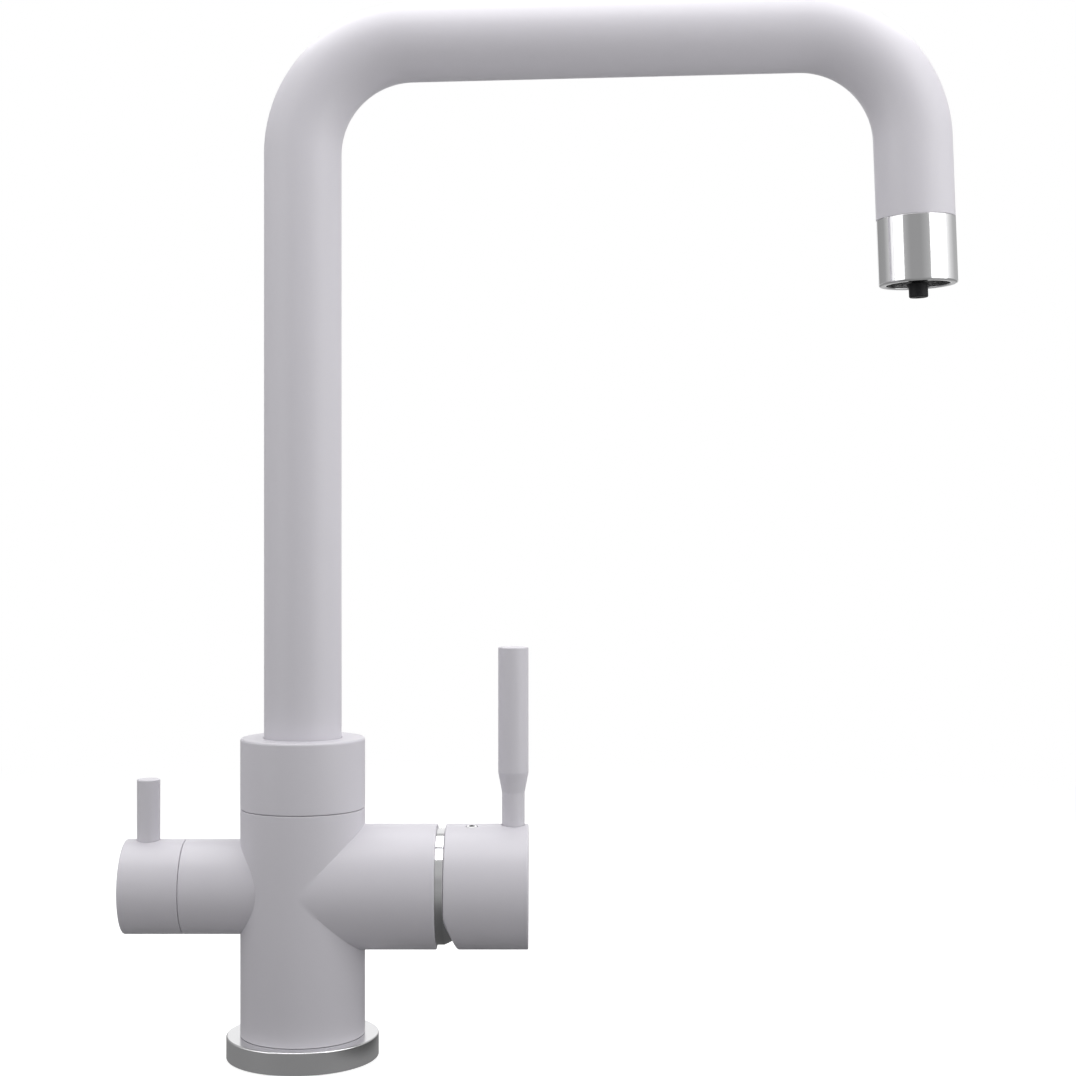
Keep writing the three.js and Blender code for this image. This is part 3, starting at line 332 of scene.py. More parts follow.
def rounded(corners, steps=6, guard=0.25 * mm):
    """Profile through corners (radius, height, fillet): each corner becomes an arc that meets
    both straight sides, and a guard point on each side keeps the flats flat when shaded."""
    points = []
    count = len(corners)
    for i, (r, h, fillet) in enumerate(corners):
        here = np.array([r, h], float)
        before = np.array(corners[i - 1][:2], float)
        after = np.array(corners[(i + 1) % count][:2], float)
        if fillet <= 0:
            points.append(here)
            continue
        back = (before - here) / np.linalg.norm(before - here)
        ahead = (after - here) / np.linalg.norm(after - here)
        half = math.acos(np.clip(back @ ahead, -1, 1)) / 2
        reach = fillet / math.tan(half)
        middle = here + (back + ahead) / np.linalg.norm(back + ahead) * fillet / math.sin(half)
        start, end = here + back * reach, here + ahead * reach
        turn = math.pi - 2 * half
        side = np.sign(np.cross(here - before, after - here)) or 1.0
        first = start - middle
        angles = np.linspace(0, turn, steps + 1) * side
        arc = [middle + np.array([first[0] * math.cos(a) - first[1] * math.sin(a),
                                  first[0] * math.sin(a) + first[1] * math.cos(a)])
               for a in angles]
        points.append(start + back * guard)
        points.extend(arc)
        points.append(end + ahead * guard)
    return np.array(points)


def circle(sides):
    """Equal angles round a full turn."""
    return np.arange(sides) * 2 * math.pi / sides


def turned(radius, angle, height):
    """Points about +Z: x = r cos a, y = r sin a, z = h."""
    return np.stack([radius * np.cos(angle), radius * np.sin(angle), height + 0 * angle],
                    axis=-1)


def revolve(profile, sides=FINE):
    """Grid of a profile (radius, height) turned about +Z."""
    return turned(profile[:, :1], circle(sides), profile[:, 1:])


def weld(work):
    """Merges doubles, drops slivers and turns the faces outwards."""
    bmesh.ops.remove_doubles(work, verts=work.verts, dist=MERGE_REACH)
    bmesh.ops.dissolve_degenerate(work, edges=work.edges, dist=SLIVER)
    bmesh.ops.recalc_face_normals(work, faces=work.faces)


def finished(mesh, name, material, body, cad, sharp=50):
    """Welds a mesh, shades it smooth up to an angle in degrees and makes it a piece."""
    work = bmesh.new()
    work.from_mesh(mesh)
    weld(work)
    for face in work.faces:
        face.smooth = True
    for edge in work.edges:
        edge.smooth = edge.is_manifold and edge.calc_face_angle(0.0) < math.radians(sharp)
    work.to_mesh(mesh)
    work.free()
    mesh.materials.append(material)
    piece = bpy.data.objects.new(name, mesh)
    bpy.context.scene.collection.objects.link(piece)
    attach(piece, body)
    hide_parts(cad)
    return piece


def grid_piece(points, name, material, body, cad, wrap_rows=True, sharp=50):
    """A piece from one grid of points, whose last row joins its first if it is a ring."""
    return finished(grid_mesh(name, points, wrap_rows), name, material, body, cad, sharp)


def finish(name, colour, roughness, metallic=0.0, tone=0.03, tone_scale=30.0,
           roughness_spread=0.06, bump_scale=1500.0, bump_height=2e-6, stretch=(1, 1, 1),
           specular=0.5):
    """Base material: two close tones drift over the surface, roughness varies a little and a
    fine noise lifts it. stretch draws the fine noise out into lines, as turning or brushing
    leaves them."""
    made, tree = empty_material(name)
    place = node(tree, "ShaderNodeTexCoord", output="Object")
    drawn = node(tree, "ShaderNodeMapping", None, {"Vector": place, "Scale": stretch})
    drift = node(tree, "ShaderNodeTexNoise", None,
                 {"Vector": place, "Scale": tone_scale, "Detail": 3.0})
    grain = node(tree, "ShaderNodeTexNoise", None,
                 {"Vector": drawn, "Scale": bump_scale, "Detail": 2.0})
    darker = tuple(c * (1 - tone) for c in colour) + (1,)
    lighter = tuple(min(1.0, c * (1 + tone)) for c in colour) + (1,)
    shade = mix_colour(tree, drift, darker, lighter)
    rough = (drift - 0.5) * roughness_spread + (grain - 0.5) * roughness_spread + roughness
    lift = node(tree, "ShaderNodeBump", None,
                {"Height": grain, "Strength": 1.0, "Distance": bump_height})
    shader = node(tree, "ShaderNodeBsdfPrincipled", None, {
        "Base Color": shade, "Roughness": rough.clamped(), "Metallic": metallic,
        "Specular IOR Level": specular, "Normal": lift})
    node(tree, "ShaderNodeOutputMaterial", None, {"Surface": shader})
    return made


satin_chrome = finish("satin_chrome", (0.80, 0.80, 0.81), 0.22, metallic=1.0, tone=0.03,
                      roughness_spread=0.06, bump_scale=400.0, bump_height=4e-7,
                      stretch=(1, 1, 6))
black_rubber = finish("black_rubber", (0.028, 0.028, 0.030), 0.82, tone=0.25,
                      bump_scale=2600.0, bump_height=1.2e-5)

ring_profile = rounded([
    (FOOT_RADIUS + FOOT_GAP, RING_BOTTOM, 0), (GROOVE_INNER, RING_BOTTOM, 0),
    (GROOVE_INNER, GROOVE_TOP, 0), (GROOVE_OUTER, GROOVE_TOP, 0),
    (GROOVE_OUTER, RING_BOTTOM, 0), (RING_RADIUS, RING_BOTTOM, SEAM_EDGE),
    (RING_RADIUS, RING_TOP, RING_EDGE), (FOOT_RADIUS + FOOT_GAP, RING_TOP, CRISP_EDGE),
])
grid_piece(revolve(ring_profile), "base_ring_plated", satin_chrome, "root", "base_ring")

seal_profile = rounded([
    (SEAL_INNER, SEAL_BOTTOM, SEAL_EDGE), (SEAL_OUTER, SEAL_BOTTOM, SEAL_EDGE),
    (SEAL_OUTER, SEAL_TOP, SEAM_EDGE), (SEAL_INNER, SEAL_TOP, SEAM_EDGE),
], steps=4)
grid_piece(revolve(seal_profile, PLAIN), "base_seal_ring", black_rubber, "root", "base_seal")


# ---------------------------------------------------------------- main body
# One brass casting with a column and two side arms, machined and powder coated white. The
# arms meet the column in mitred lines. Its pockets take the cartridge and the filter valve,
# and the spigot of the spout turns in its top.

ARM_HEIGHT = 61.6 * mm
BODY_RADIUS = 22.5 * mm
BODY_TOP = 90.2 * mm
SPIGOT_BORE = 15.4 * mm
SPIGOT_FLOOR = 88.6 * mm
MIXER_ARM_END = 48.8 * mm
MIXER_POCKET = 18.0 * mm
FILTER_ARM_RADIUS = 17.0 * mm
FILTER_ARM_END = 42.5 * mm
FILTER_POCKET = 12.0 * mm
POCKET_FLOOR = 20.0 * mm
FOOT_TOP = 8.6 * mm
FOOT_BOTTOM = 0.9 * mm
FOOT_EDGE = 0.1 * mm
SHANK_SOCKET = 16.8 * mm
SHANK_SOCKET_TOP = 8.9 * mm
MITRE_BAND = 1.3 * mm
WALL_SHARES = (0.35, 0.7)
WALL_RUN = 20 * mm
QUARTER_STEPS = 64
BACK_POINTS = 12
ARC_POINTS = 2 * QUARTER_STEPS + 1

white_coat = finish("white_powder_coat", (0.667, 0.650, 0.695), 0.40, tone=0.008,
                    tone_scale=18.0, roughness_spread=0.05, bump_scale=1300.0,
                    bump_height=9e-6)


def column_ring():
    """Points round the column, and how far above and below the arms' axis its wall starts.

    Right half: y = R sin a, opening half height x = R cos a, the mitre of two equal cylinders.
    Left half: y = r sin b on the smaller arm, opening half height r cos b. Between them the
    wall is whole.
    """
    right = np.linspace(-math.pi / 2, math.pi / 2, ARC_POINTS)
    x_right, y_right = BODY_RADIUS * np.cos(right), BODY_RADIUS * np.sin(right)
    edge = math.pi - math.asin(FILTER_ARM_RADIUS / BODY_RADIUS)
    back = np.linspace(math.pi / 2, edge, BACK_POINTS + 2)[1:-1]
    small = np.linspace(math.pi / 2, -math.pi / 2, ARC_POINTS)
    y_left = FILTER_ARM_RADIUS * np.sin(small)
    x_left = -np.sqrt(BODY_RADIUS ** 2 - y_left ** 2)
    front = -back[::-1]
    x = np.concatenate([x_right, BODY_RADIUS * np.cos(back), x_left,
                        BODY_RADIUS * np.cos(front)])
    y = np.concatenate([y_right, BODY_RADIUS * np.sin(back), y_left,
                        BODY_RADIUS * np.sin(front)])
    half = np.concatenate([x_right, 0 * back, FILTER_ARM_RADIUS * np.cos(small), 0 * front])
    return x, y, np.maximum(half, 0)


def column_half(x, y, half, sign, end_profile):
    """Wall from the arms' opening to one end: straight rows, then the end's turned profile.
    sign is 1 for the upper half and -1 for the lower."""
    first = ARM_HEIGHT + sign * half
    last = end_profile[0, 1]
    near = first + sign * MITRE_BAND
    rows = [np.stack([x, y, first], -1), np.stack([x, y, near], -1)]
    for share in WALL_SHARES:
        rows.append(np.stack([x, y, near + (last - near) * share], -1))
    for radius, height in end_profile:
        rows.append(np.stack([x * radius / BODY_RADIUS, y * radius / BODY_RADIUS,
                              height + 0 * x], -1))
    return np.array(rows)


def arm(y, half, start, direction, radius, end_profile):
    """Arm from the mitre out to its end: upper and lower half make one ring of points."""
    ring_y = np.concatenate([y, y[-2:0:-1]])
    ring_z = np.concatenate([half, -half[-2:0:-1]])
    ring_x = np.concatenate([start, start[-2:0:-1]])
    near = ring_x + direction * MITRE_BAND
    last = direction * end_profile[0, 1]
    rows = [np.stack([x, ring_y, ARM_HEIGHT + ring_z], -1)
            for x in (ring_x, near, (near + last) / 2)]
    for r, distance in end_profile:
        rows.append(np.stack([direction * distance + 0 * ring_y, ring_y * r / radius,
                              ARM_HEIGHT + ring_z * r / radius], -1))
    return np.array(rows)


def end_with_bore(radius, end, bore, floor_at):
    """Profile of an end: broken edge, flat, countersunk bore and its floor to the axis. The
    first corner only gives the wall's direction."""
    return rounded([(radius, end - WALL_RUN, 0), (radius, end, SEAM_EDGE),
                    (bore, end, SEAM_EDGE), (bore, floor_at, 0), (0.0, floor_at, 0)])[1:]


def body_mesh():
    """Both halves of the column and both arms, whose open edges meet along the mitres."""
    x, y, half = column_ring()
    right = slice(0, ARC_POINTS)
    left = slice(ARC_POINTS + BACK_POINTS, 2 * ARC_POINTS + BACK_POINTS)
    foot_end = rounded([
        (BODY_RADIUS, FOOT_TOP + WALL_RUN, 0), (BODY_RADIUS, FOOT_TOP, FOOT_EDGE),
        (FOOT_RADIUS, FOOT_TOP, 0), (FOOT_RADIUS, FOOT_BOTTOM, SEAM_EDGE),
        (SHANK_SOCKET, FOOT_BOTTOM, 0), (SHANK_SOCKET, SHANK_SOCKET_TOP, 0),
        (0.0, SHANK_SOCKET_TOP, 0)])[1:]
    parts = [
        column_half(x, y, half, 1,
                    end_with_bore(BODY_RADIUS, BODY_TOP, SPIGOT_BORE, SPIGOT_FLOOR)),
        column_half(x, y, half, -1, foot_end),
        arm(y[right], half[right], x[right], 1, BODY_RADIUS,
            end_with_bore(BODY_RADIUS, MIXER_ARM_END, MIXER_POCKET, POCKET_FLOOR)),
        arm(y[left], half[left], x[left], -1, FILTER_ARM_RADIUS,
            end_with_bore(FILTER_ARM_RADIUS, FILTER_ARM_END, FILTER_POCKET, POCKET_FLOOR)),
    ]
    work = bmesh.new()
    for points in parts:
        work.from_mesh(grid_mesh("body_part", points))
    mesh = bpy.data.meshes.new("coated_body")
    work.to_mesh(mesh)
    work.free()
    return mesh


finished(body_mesh(), "coated_body", white_coat, "root", "main_body", sharp=25)


# ---------------------------------------------------------------- spout collar
# A coated brass sleeve brazed to the spigot. It turns with the spout on a hairline seam, and
# the spout tube drops into its top with a thin dark joint round it.

COLLAR_BOTTOM = 90.38 * mm
COLLAR_TOP = 115.8 * mm
COLLAR_EDGE = 0.9 * mm
COLLAR_BORE = 17.6 * mm
SOCKET_FLOOR = 97.2 * mm
TUBE_RADIUS = 14.0 * mm
TUBE_JOINT = 0.15 * mm

collar_profile = rounded([
    (COLLAR_BORE, COLLAR_BOTTOM, 0), (BODY_RADIUS, COLLAR_BOTTOM, SEAM_EDGE),
    (BODY_RADIUS, COLLAR_TOP, COLLAR_EDGE), (TUBE_RADIUS + TUBE_JOINT, COLLAR_TOP, SEAM_EDGE),
    (TUBE_RADIUS + TUBE_JOINT, SOCKET_FLOOR, 0), (COLLAR_BORE, SOCKET_FLOOR, 0),
])
grid_piece(revolve(collar_profile), "coated_collar", white_coat, "spout", "spout_collar")


# ---------------------------------------------------------------- spout tube
# One length of brass tube bent twice and powder coated. Its run rises slightly away from the
# body and the outlet leg leans outwards.

BEND_RADIUS = 40.0 * mm
TUBE_FOOT = 94.3 * mm
TUBE_BORE = 12.5 * mm
RUN_HEIGHT = 367.2 * mm
RUN_LENGTH = 218.2 * mm
RUN_RISE = math.radians(0.67)
OUTLET_LEAN = math.radians(2.15)
OUTLET_LEG = 67.65 * mm
SPOUT_SWING = math.radians(-3.0)
BEND_STEPS = 48
RISER_STEPS, RUN_STEPS, LEG_STEPS = 12, 8, 3


def spout_line():
    """Centre line in the spout's plane: x, z and heading at each station. A straight is cut in
    equal steps, and a bend is a run of equal chords, each turning the heading by one angle."""
    first = math.pi / 2 - RUN_RISE
    second = RUN_RISE + math.pi / 2 - OUTLET_LEAN
    first_tangent = BEND_RADIUS * math.tan(first / 2)
    second_tangent = BEND_RADIUS * math.tan(second / 2)
    lengths, headings = [], []

    def straight(length, heading, steps):
        lengths.extend([length / steps] * steps)
        headings.extend([heading] * steps)

    def bend(angle, heading):
        step = angle / BEND_STEPS
        lengths.extend([2 * BEND_RADIUS * math.sin(step / 2)] * BEND_STEPS)
        headings.extend([heading - step * (i + 0.5) for i in range(BEND_STEPS)])

    straight(RUN_HEIGHT - TUBE_FOOT - first_tangent, math.pi / 2, RISER_STEPS)
    bend(first, math.pi / 2)
    straight(RUN_LENGTH - first_tangent - second_tangent, RUN_RISE, RUN_STEPS)
    bend(second, RUN_RISE)
    straight(OUTLET_LEG - second_tangent, OUTLET_LEAN - math.pi / 2, LEG_STEPS)
    lengths, headings = np.array(lengths), np.array(headings)
    x = np.concatenate([[0], np.cumsum(lengths * np.cos(headings))])
    z = TUBE_FOOT + np.concatenate([[0], np.cumsum(lengths * np.sin(headings))])
    heading = np.concatenate([headings[:1], (headings[1:] + headings[:-1]) / 2, headings[-1:]])
    return x, z, heading


def swung(points):
    """Turns points of the spout's plane to where the spout stands."""
    c, s = math.cos(SPOUT_SWING), math.sin(SPOUT_SWING)
    x, y, z = points[..., 0], points[..., 1], points[..., 2]
    return np.stack([x * c - y * s, x * s + y * c, z], axis=-1)


def tube_rows(radius):
    """Circle carried along the spout's line: centre + r (n cos a + b sin a), with n in the
    spout's plane and b square to it."""
    x, z, heading = (v[:, None] for v in spout_line())
    angle = circle(PLAIN)
    across = radius * np.cos(angle)
    return swung(np.stack([x - across * np.sin(heading), radius * np.sin(angle) + 0 * x,
                           z + across * np.cos(heading)], axis=-1))


tube_points = np.concatenate([tube_rows(TUBE_RADIUS), tube_rows(TUBE_BORE)[::-1]])
grid_piece(tube_points, "coated_tube", white_coat, "spout", "spout_tube")


# ---------------------------------------------------------------- outlet shell
# A turned, chrome plated shell that screws on a sleeve in the tube's end. Inside its lip sits
# a black insert with two rings of slots for mixed water, round the filtered water nozzle.

OUTLET_LENGTH = 23.6 * mm
SHELL_LIP = 11.3 * mm
SHELL_BORE = 12.6 * mm
SHELL_SEAM = 0.08 * mm
SHELL_EDGE = 0.7 * mm
LIP_EDGE = 0.35 * mm
LIP_TOP = -OUTLET_LENGTH + 1.4 * mm
INSERT_HOLE = 3.7 * mm
INSERT_FACE = 10.9 * mm
INSERT_WALL = 12.2 * mm
INSERT_BORE = 2.6 * mm
INSERT_SHOULDER = LIP_TOP + 0.3 * mm
INSERT_BACK = LIP_TOP + 9.3 * mm
INSERT_SIDES = 240
INSERT_ROWS = 30
# Each ring of slots: its middle radius, how many slots, and their half width.
SLOT_RINGS = ((6.0 * mm, 16, 1.0 * mm), (8.9 * mm, 24, 1.1 * mm))
SLOT_DEPTH = 1.2 * mm
SLOT_SLOPE = 1.6
SLOT_WIDENING = 0.2
FACE_DROP = 0.2 * mm
NOZZLE_BORE = 0.9 * mm
NOZZLE_RADIUS = 3.4 * mm
NOZZLE_END = -OUTLET_LENGTH - 4.45 * mm
NOZZLE_END_EDGE = 0.5 * mm
NOZZLE_BORE_EDGE = 0.15 * mm
NOZZLE_SHOULDER = LIP_TOP - 0.8 * mm
NOZZLE_STEM = 2.3 * mm
NOZZLE_STEM_TOP = -10.2 * mm
NOZZLE_SPIKE = 1.4 * mm
NOZZLE_SPIKE_TOP = -5.2 * mm
# Sides of small round pieces and holes.
COARSE = 64


def at_outlet(points):
    """Places a grid made about +Z, with 0 at the tube's end, on the leaning outlet leg."""
    x, z, _ = spout_line()
    c, s = math.cos(OUTLET_LEAN), math.sin(OUTLET_LEAN)
    px, py, pz = points[..., 0], points[..., 1], points[..., 2]
    return swung(np.stack([x[-1] + px * c - pz * s, py, z[-1] + px * s + pz * c], axis=-1))


chrome = finish("chrome_plate", (0.80, 0.80, 0.81), 0.10, metallic=1.0, tone=0.015,
                roughness_spread=0.04, bump_scale=500.0, bump_height=4e-7)
black_plastic = finish("black_plastic", (0.020, 0.020, 0.022), 0.45, tone=0.15,
                       bump_scale=1800.0, bump_height=3e-6, specular=0.2)

shell_profile = rounded([
    (SHELL_LIP, -OUTLET_LENGTH, LIP_EDGE), (TUBE_RADIUS, -OUTLET_LENGTH, SHELL_EDGE),
    (TUBE_RADIUS, -SHELL_SEAM, CRISP_EDGE), (SHELL_BORE, -SHELL_SEAM, 0),
    (SHELL_BORE, LIP_TOP, 0), (SHELL_LIP, LIP_TOP, 0),
])
grid_piece(at_outlet(revolve(shell_profile)), "plated_outlet", chrome, "spout",
           "outlet_shell")


def insert_face():
    """Underside of the insert: a disc whose height follows two rings of slots. Each ring is a
    smooth bump across the radius, times a wave round the circle, cut to flat floors."""
    radius = np.linspace(INSERT_HOLE, INSERT_FACE, INSERT_ROWS)[:, None]
    angle = circle(INSERT_SIDES)[None, :]
    slots = 0
    for middle, count, width in SLOT_RINGS:
        band = np.clip(SLOT_SLOPE - np.abs(radius - middle) / width * SLOT_SLOPE, 0, 1)
        wave = np.clip(np.cos(angle * count) * SLOT_SLOPE + SLOT_WIDENING, 0, 1)
        slots = slots + band * wave
    return turned(radius, angle, LIP_TOP - FACE_DROP + SLOT_DEPTH * slots)


insert_back = revolve(np.array([
    [INSERT_FACE, INSERT_SHOULDER], [INSERT_WALL, INSERT_SHOULDER],
    [INSERT_WALL, INSERT_BACK], [INSERT_BORE, INSERT_BACK], [INSERT_BORE, LIP_TOP],
]), INSERT_SIDES)
grid_piece(at_outlet(np.concatenate([insert_face(), insert_back])), "slotted_insert",
           black_plastic, "spout", "aerator_insert", sharp=35)

nozzle_profile = rounded([
    (NOZZLE_BORE, NOZZLE_END, NOZZLE_BORE_EDGE), (NOZZLE_RADIUS, NOZZLE_END, NOZZLE_END_EDGE),
    (NOZZLE_RADIUS, NOZZLE_SHOULDER, CRISP_EDGE), (NOZZLE_STEM, NOZZLE_SHOULDER, 0),
    (NOZZLE_STEM, NOZZLE_STEM_TOP, 0), (NOZZLE_SPIKE, NOZZLE_STEM_TOP, 0),
    (NOZZLE_SPIKE, NOZZLE_SPIKE_TOP, 0), (NOZZLE_BORE, NOZZLE_SPIKE_TOP, 0),
])
grid_piece(at_outlet(revolve(nozzle_profile, COARSE)), "moulded_nozzle", black_plastic,
           "spout", "filter_nozzle")


# ---------------------------------------------------------------- trim ring
# A chrome plated ring that hides the cartridge nut in the gap between the mixer arm and the
# lever cap: a plain band, then a dome about the lever's tilt axis.

TILT_AXIS_X = 43.4 * mm
DOME_RADIUS = 22.38 * mm
BAND_RADIUS = 20.8 * mm
TRIM_START = MIXER_ARM_END + 0.1 * mm
TRIM_NOSE = 54.9 * mm
TRIM_LIP = 52.8 * mm
TRIM_LIP_BORE = 10.5 * mm
TRIM_BORE = 16.3 * mm
TRIM_STEPS = 24


def along_x(points, height):
    """Turns a grid made about +Z so that its axis points along +X, at a height."""
    return np.stack([points[..., 2], points[..., 1], height - points[..., 0]], axis=-1)


def trim_profile():
    """Plain band next to the arm, then the dome r = sqrt(R^2 - (x - pivot)^2) to the ring's
    nose, then its lip and bore."""
    x = np.linspace(TRIM_START, TRIM_NOSE, TRIM_STEPS)
    dome = np.sqrt(DOME_RADIUS ** 2 - (x - TILT_AXIS_X) ** 2)
    face = np.stack([np.minimum(dome, BAND_RADIUS), x], -1)
    rest = np.array([[TRIM_LIP_BORE, TRIM_NOSE], [TRIM_LIP_BORE, TRIM_LIP],
                     [TRIM_BORE, TRIM_LIP], [TRIM_BORE, TRIM_START]])
    return np.concatenate([face, rest])


grid_piece(along_x(revolve(trim_profile()), ARM_HEIGHT), "plated_trim", chrome, "root",
           "trim_ring", sharp=30)


# ---------------------------------------------------------------- lever cap
# A coated brass cap clamped on the cartridge spindle by a screw under the index plug. Its
# lower inner edge is cut back on a slant, so that the lever can be tilted outwards.

CAP_START = 52.0 * mm
CAP_END = 82.0 * mm
BROKEN_EDGE = 0.45 * mm
CAP_BORE = 21.2 * mm
CAP_SOLID_FROM = 69.0 * mm
CAP_ROWS = (64.0 * mm, 72.0 * mm)
CAP_SIDES = 256
TILT_LIMIT = math.radians(18)
RELIEF_REACH = MIXER_ARM_END + 0.4 * mm - TILT_AXIS_X
# Rows next to the rim that keep its inner corner and its outer edge crisp when shaded.
BORE_GUARDS = (0.5 * mm, 0.05 * mm)
RIM_CORNER = 0.1 * mm
RIM_GUARD = 0.4 * mm
RIM_POINTS = 6
LEVER_SCREW_X = 61.5 * mm
SCREW_TURN = math.radians(8)
SCREW_HOLE = 2.2 * mm
ROD_X = 76.5 * mm
ROD_HOLE = 4.35 * mm
# How far from the arm's axis the two holes start, and how long the bar is that cuts them.
SCREW_HOLE_FLOOR = 10 * mm
ROD_HOLE_FLOOR = 8.3 * mm
HOLE_LENGTH = 20 * mm
UP = (0, 0, 1)


def rim_start(y, z):
    """Where the cap's wall starts along X: the flat rim, or the slanted relief below it,
    x cos t + z sin t = reach, measured from the tilt axis."""
    slant = TILT_AXIS_X + (RELIEF_REACH - z * math.sin(TILT_LIMIT)) / math.cos(TILT_LIMIT)
    return np.maximum(CAP_START, slant)


def cap_points():
    """Rows from the hollow's floor up the bore to the rim, round it and over the outside to
    the middle of the end face."""
    unit_y, unit_z = np.sin(circle(CAP_SIDES)), np.cos(circle(CAP_SIDES))
    end = rounded([(BODY_RADIUS, CAP_START, 0), (BODY_RADIUS, CAP_END, BROKEN_EDGE),
                   (0.0, CAP_END, 0)])[1:]

    def row(radius, x):
        return np.stack([x + 0 * unit_y, radius * unit_y, ARM_HEIGHT + radius * unit_z], -1)

    def rim(radius, inset):
        return rim_start(radius * unit_y, radius * unit_z) + inset

    rows = [row(0.0, CAP_SOLID_FROM), row(CAP_BORE, CAP_SOLID_FROM)]
    rows.extend(row(CAP_BORE, rim(CAP_BORE, inset)) for inset in BORE_GUARDS)
    rows.append(row(CAP_BORE + RIM_CORNER, rim(CAP_BORE, 0.0)))
    for turn in np.linspace(math.pi / 2, 0, RIM_POINTS):
        radius = BODY_RADIUS - BROKEN_EDGE * (1 - math.cos(turn))
        rows.append(row(radius, rim(radius, BROKEN_EDGE * (1 - math.sin(turn)))))
    rows.append(row(BODY_RADIUS, rim(BODY_RADIUS, BROKEN_EDGE + RIM_GUARD)))
    rows.extend(row(BODY_RADIUS, x) for x in CAP_ROWS)
    rows.extend(row(radius, x) for radius, x in end)
    return np.array(rows)


def drill(piece, radius, place, direction, length):
    """Cuts a round hole: a bar with the given end, direction and length is taken away."""
    mesh = grid_mesh("drill", revolve(np.array([[0, 0], [radius, 0], [radius, length],
                                                [0, length]]), COARSE))
    turn = Vector(UP).rotation_difference(Vector(direction)).to_matrix().to_4x4()
    mesh.transform(turn)
    mesh.transform(Matrix.Translation(place))
    work = bmesh.new()
    work.from_mesh(mesh)
    weld(work)
    work.to_mesh(mesh)
    work.free()
    bar = bpy.data.objects.new("drill", mesh)
    bpy.context.scene.collection.objects.link(bar)
    modifier = piece.modifiers.new("hole", "BOOLEAN")
    modifier.operation = "DIFFERENCE"
    modifier.solver = "EXACT"
    modifier.object = bar
    bpy.context.view_layer.update()
    evaluated = piece.evaluated_get(bpy.context.evaluated_depsgraph_get())
    cut = bpy.data.meshes.new_from_object(evaluated)
    piece.modifiers.clear()
    piece.data = cut
    bpy.data.objects.remove(bar)


cap = grid_piece(cap_points(), "coated_cap", white_coat, "mixer_lever", "lever_cap",
                 wrap_rows=False, sharp=35)
screw_way = Vector((0, -math.sin(SCREW_TURN), math.cos(SCREW_TURN)))
screw_start = Vector((LEVER_SCREW_X, 0, ARM_HEIGHT)) + SCREW_HOLE_FLOOR * screw_way
drill(cap, SCREW_HOLE, screw_start, screw_way, HOLE_LENGTH)
drill(cap, ROD_HOLE, (ROD_X, 0, ARM_HEIGHT + ROD_HOLE_FLOOR), UP, HOLE_LENGTH)


# ---------------------------------------------------------------- lever rod
# A brass bar, turned and powder coated like the cap, with a thin stem, a short taper and a
# thicker grip. Its foot screws into the cap.

ROD_FOOT = 70.2 * mm
ROD_TOP = 148.6 * mm
STEM_RADIUS = 4.1 * mm
STEM_TOP = 95.8 * mm
GRIP_RADIUS = 5.5 * mm
GRIP_START = 103.1 * mm
TAPER_BEND = 3.0 * mm

rod_profile = rounded([
    (0.0, ROD_FOOT, 0), (STEM_RADIUS, ROD_FOOT, 0), (STEM_RADIUS, STEM_TOP, TAPER_BEND),
    (GRIP_RADIUS, GRIP_START, TAPER_BEND), (GRIP_RADIUS, ROD_TOP, BROKEN_EDGE),
    (0.0, ROD_TOP, 0),
])
grid_piece(revolve(rod_profile, COARSE) + np.array([ROD_X, 0, 0]), "coated_rod", white_coat,
           "mixer_lever", "lever_rod", wrap_rows=False)


# ---------------------------------------------------------------- index plug
# A small moulded plastic plug, pushed into the hole over the lever's clamping screw. It is
# white, and a dark round spot is painted about its axis, wider than its shallow dimple.

PLUG_RADIUS = 1.9 * mm
PLUG_DEPTH = 2.3 * mm
PLUG_TOP = BODY_RADIUS + 0.15 * mm
PLUG_EDGE = 0.35 * mm
DIMPLE_RADIUS = 0.6 * mm
DIMPLE_FLOOR = 0.55 * mm
DIMPLE_DEPTH = 0.2 * mm
DIMPLE_EDGE = 0.05 * mm
SPOT_RADIUS = 1.15 * mm
SPOT_BLUR = 0.08 * mm
SPOT_COLOUR = (0.03, 0.03, 0.035, 1)
PLUG_SIDES = 48


def index_material():
    """White moulding with a dark round spot about the plug's axis."""
    made = finish("index_plastic", (0.93, 0.93, 0.94), 0.28, tone=0.01, bump_height=1e-6)
    tree = made.node_tree
    shader = next(n for n in tree.nodes if n.type == "BSDF_PRINCIPLED")
    place = node(tree, "ShaderNodeTexCoord", output="Object")
    axis = (LEVER_SCREW_X, -math.sin(SCREW_TURN) * BODY_RADIUS,
            ARM_HEIGHT + math.cos(SCREW_TURN) * BODY_RADIUS)
    distance = node(tree, "ShaderNodeVectorMath", {"operation": "DISTANCE"},
                    {0: place, 1: axis}, output="Value")
    # A dark round spot painted about the plug's axis, over and round its dimple.
    spot = ((SPOT_RADIUS - distance) / SPOT_BLUR).clamped()
    white = Term(tree, shader.inputs["Base Color"].links[0].from_socket)
    shade = mix_colour(tree, spot, white, SPOT_COLOUR)
    tree.links.new(shade.socket, shader.inputs["Base Color"])
    return made


plug_profile = rounded([
    (0.0, PLUG_TOP - PLUG_DEPTH, 0), (PLUG_RADIUS, PLUG_TOP - PLUG_DEPTH, 0),
    (PLUG_RADIUS, PLUG_TOP, PLUG_EDGE), (DIMPLE_RADIUS, PLUG_TOP, DIMPLE_EDGE),
    (DIMPLE_FLOOR, PLUG_TOP - DIMPLE_DEPTH, 0), (0.0, PLUG_TOP - DIMPLE_DEPTH, 0),
], guard=0.03 * mm)
plug_mesh = grid_mesh("moulded_plug", revolve(plug_profile, PLUG_SIDES))
plug_mesh.transform(Matrix.Translation((LEVER_SCREW_X, 0, ARM_HEIGHT))
                    @ Matrix.Rotation(SCREW_TURN, 4, "X"))
finished(plug_mesh, "moulded_plug", index_material(), "mixer_lever", "index_plug")


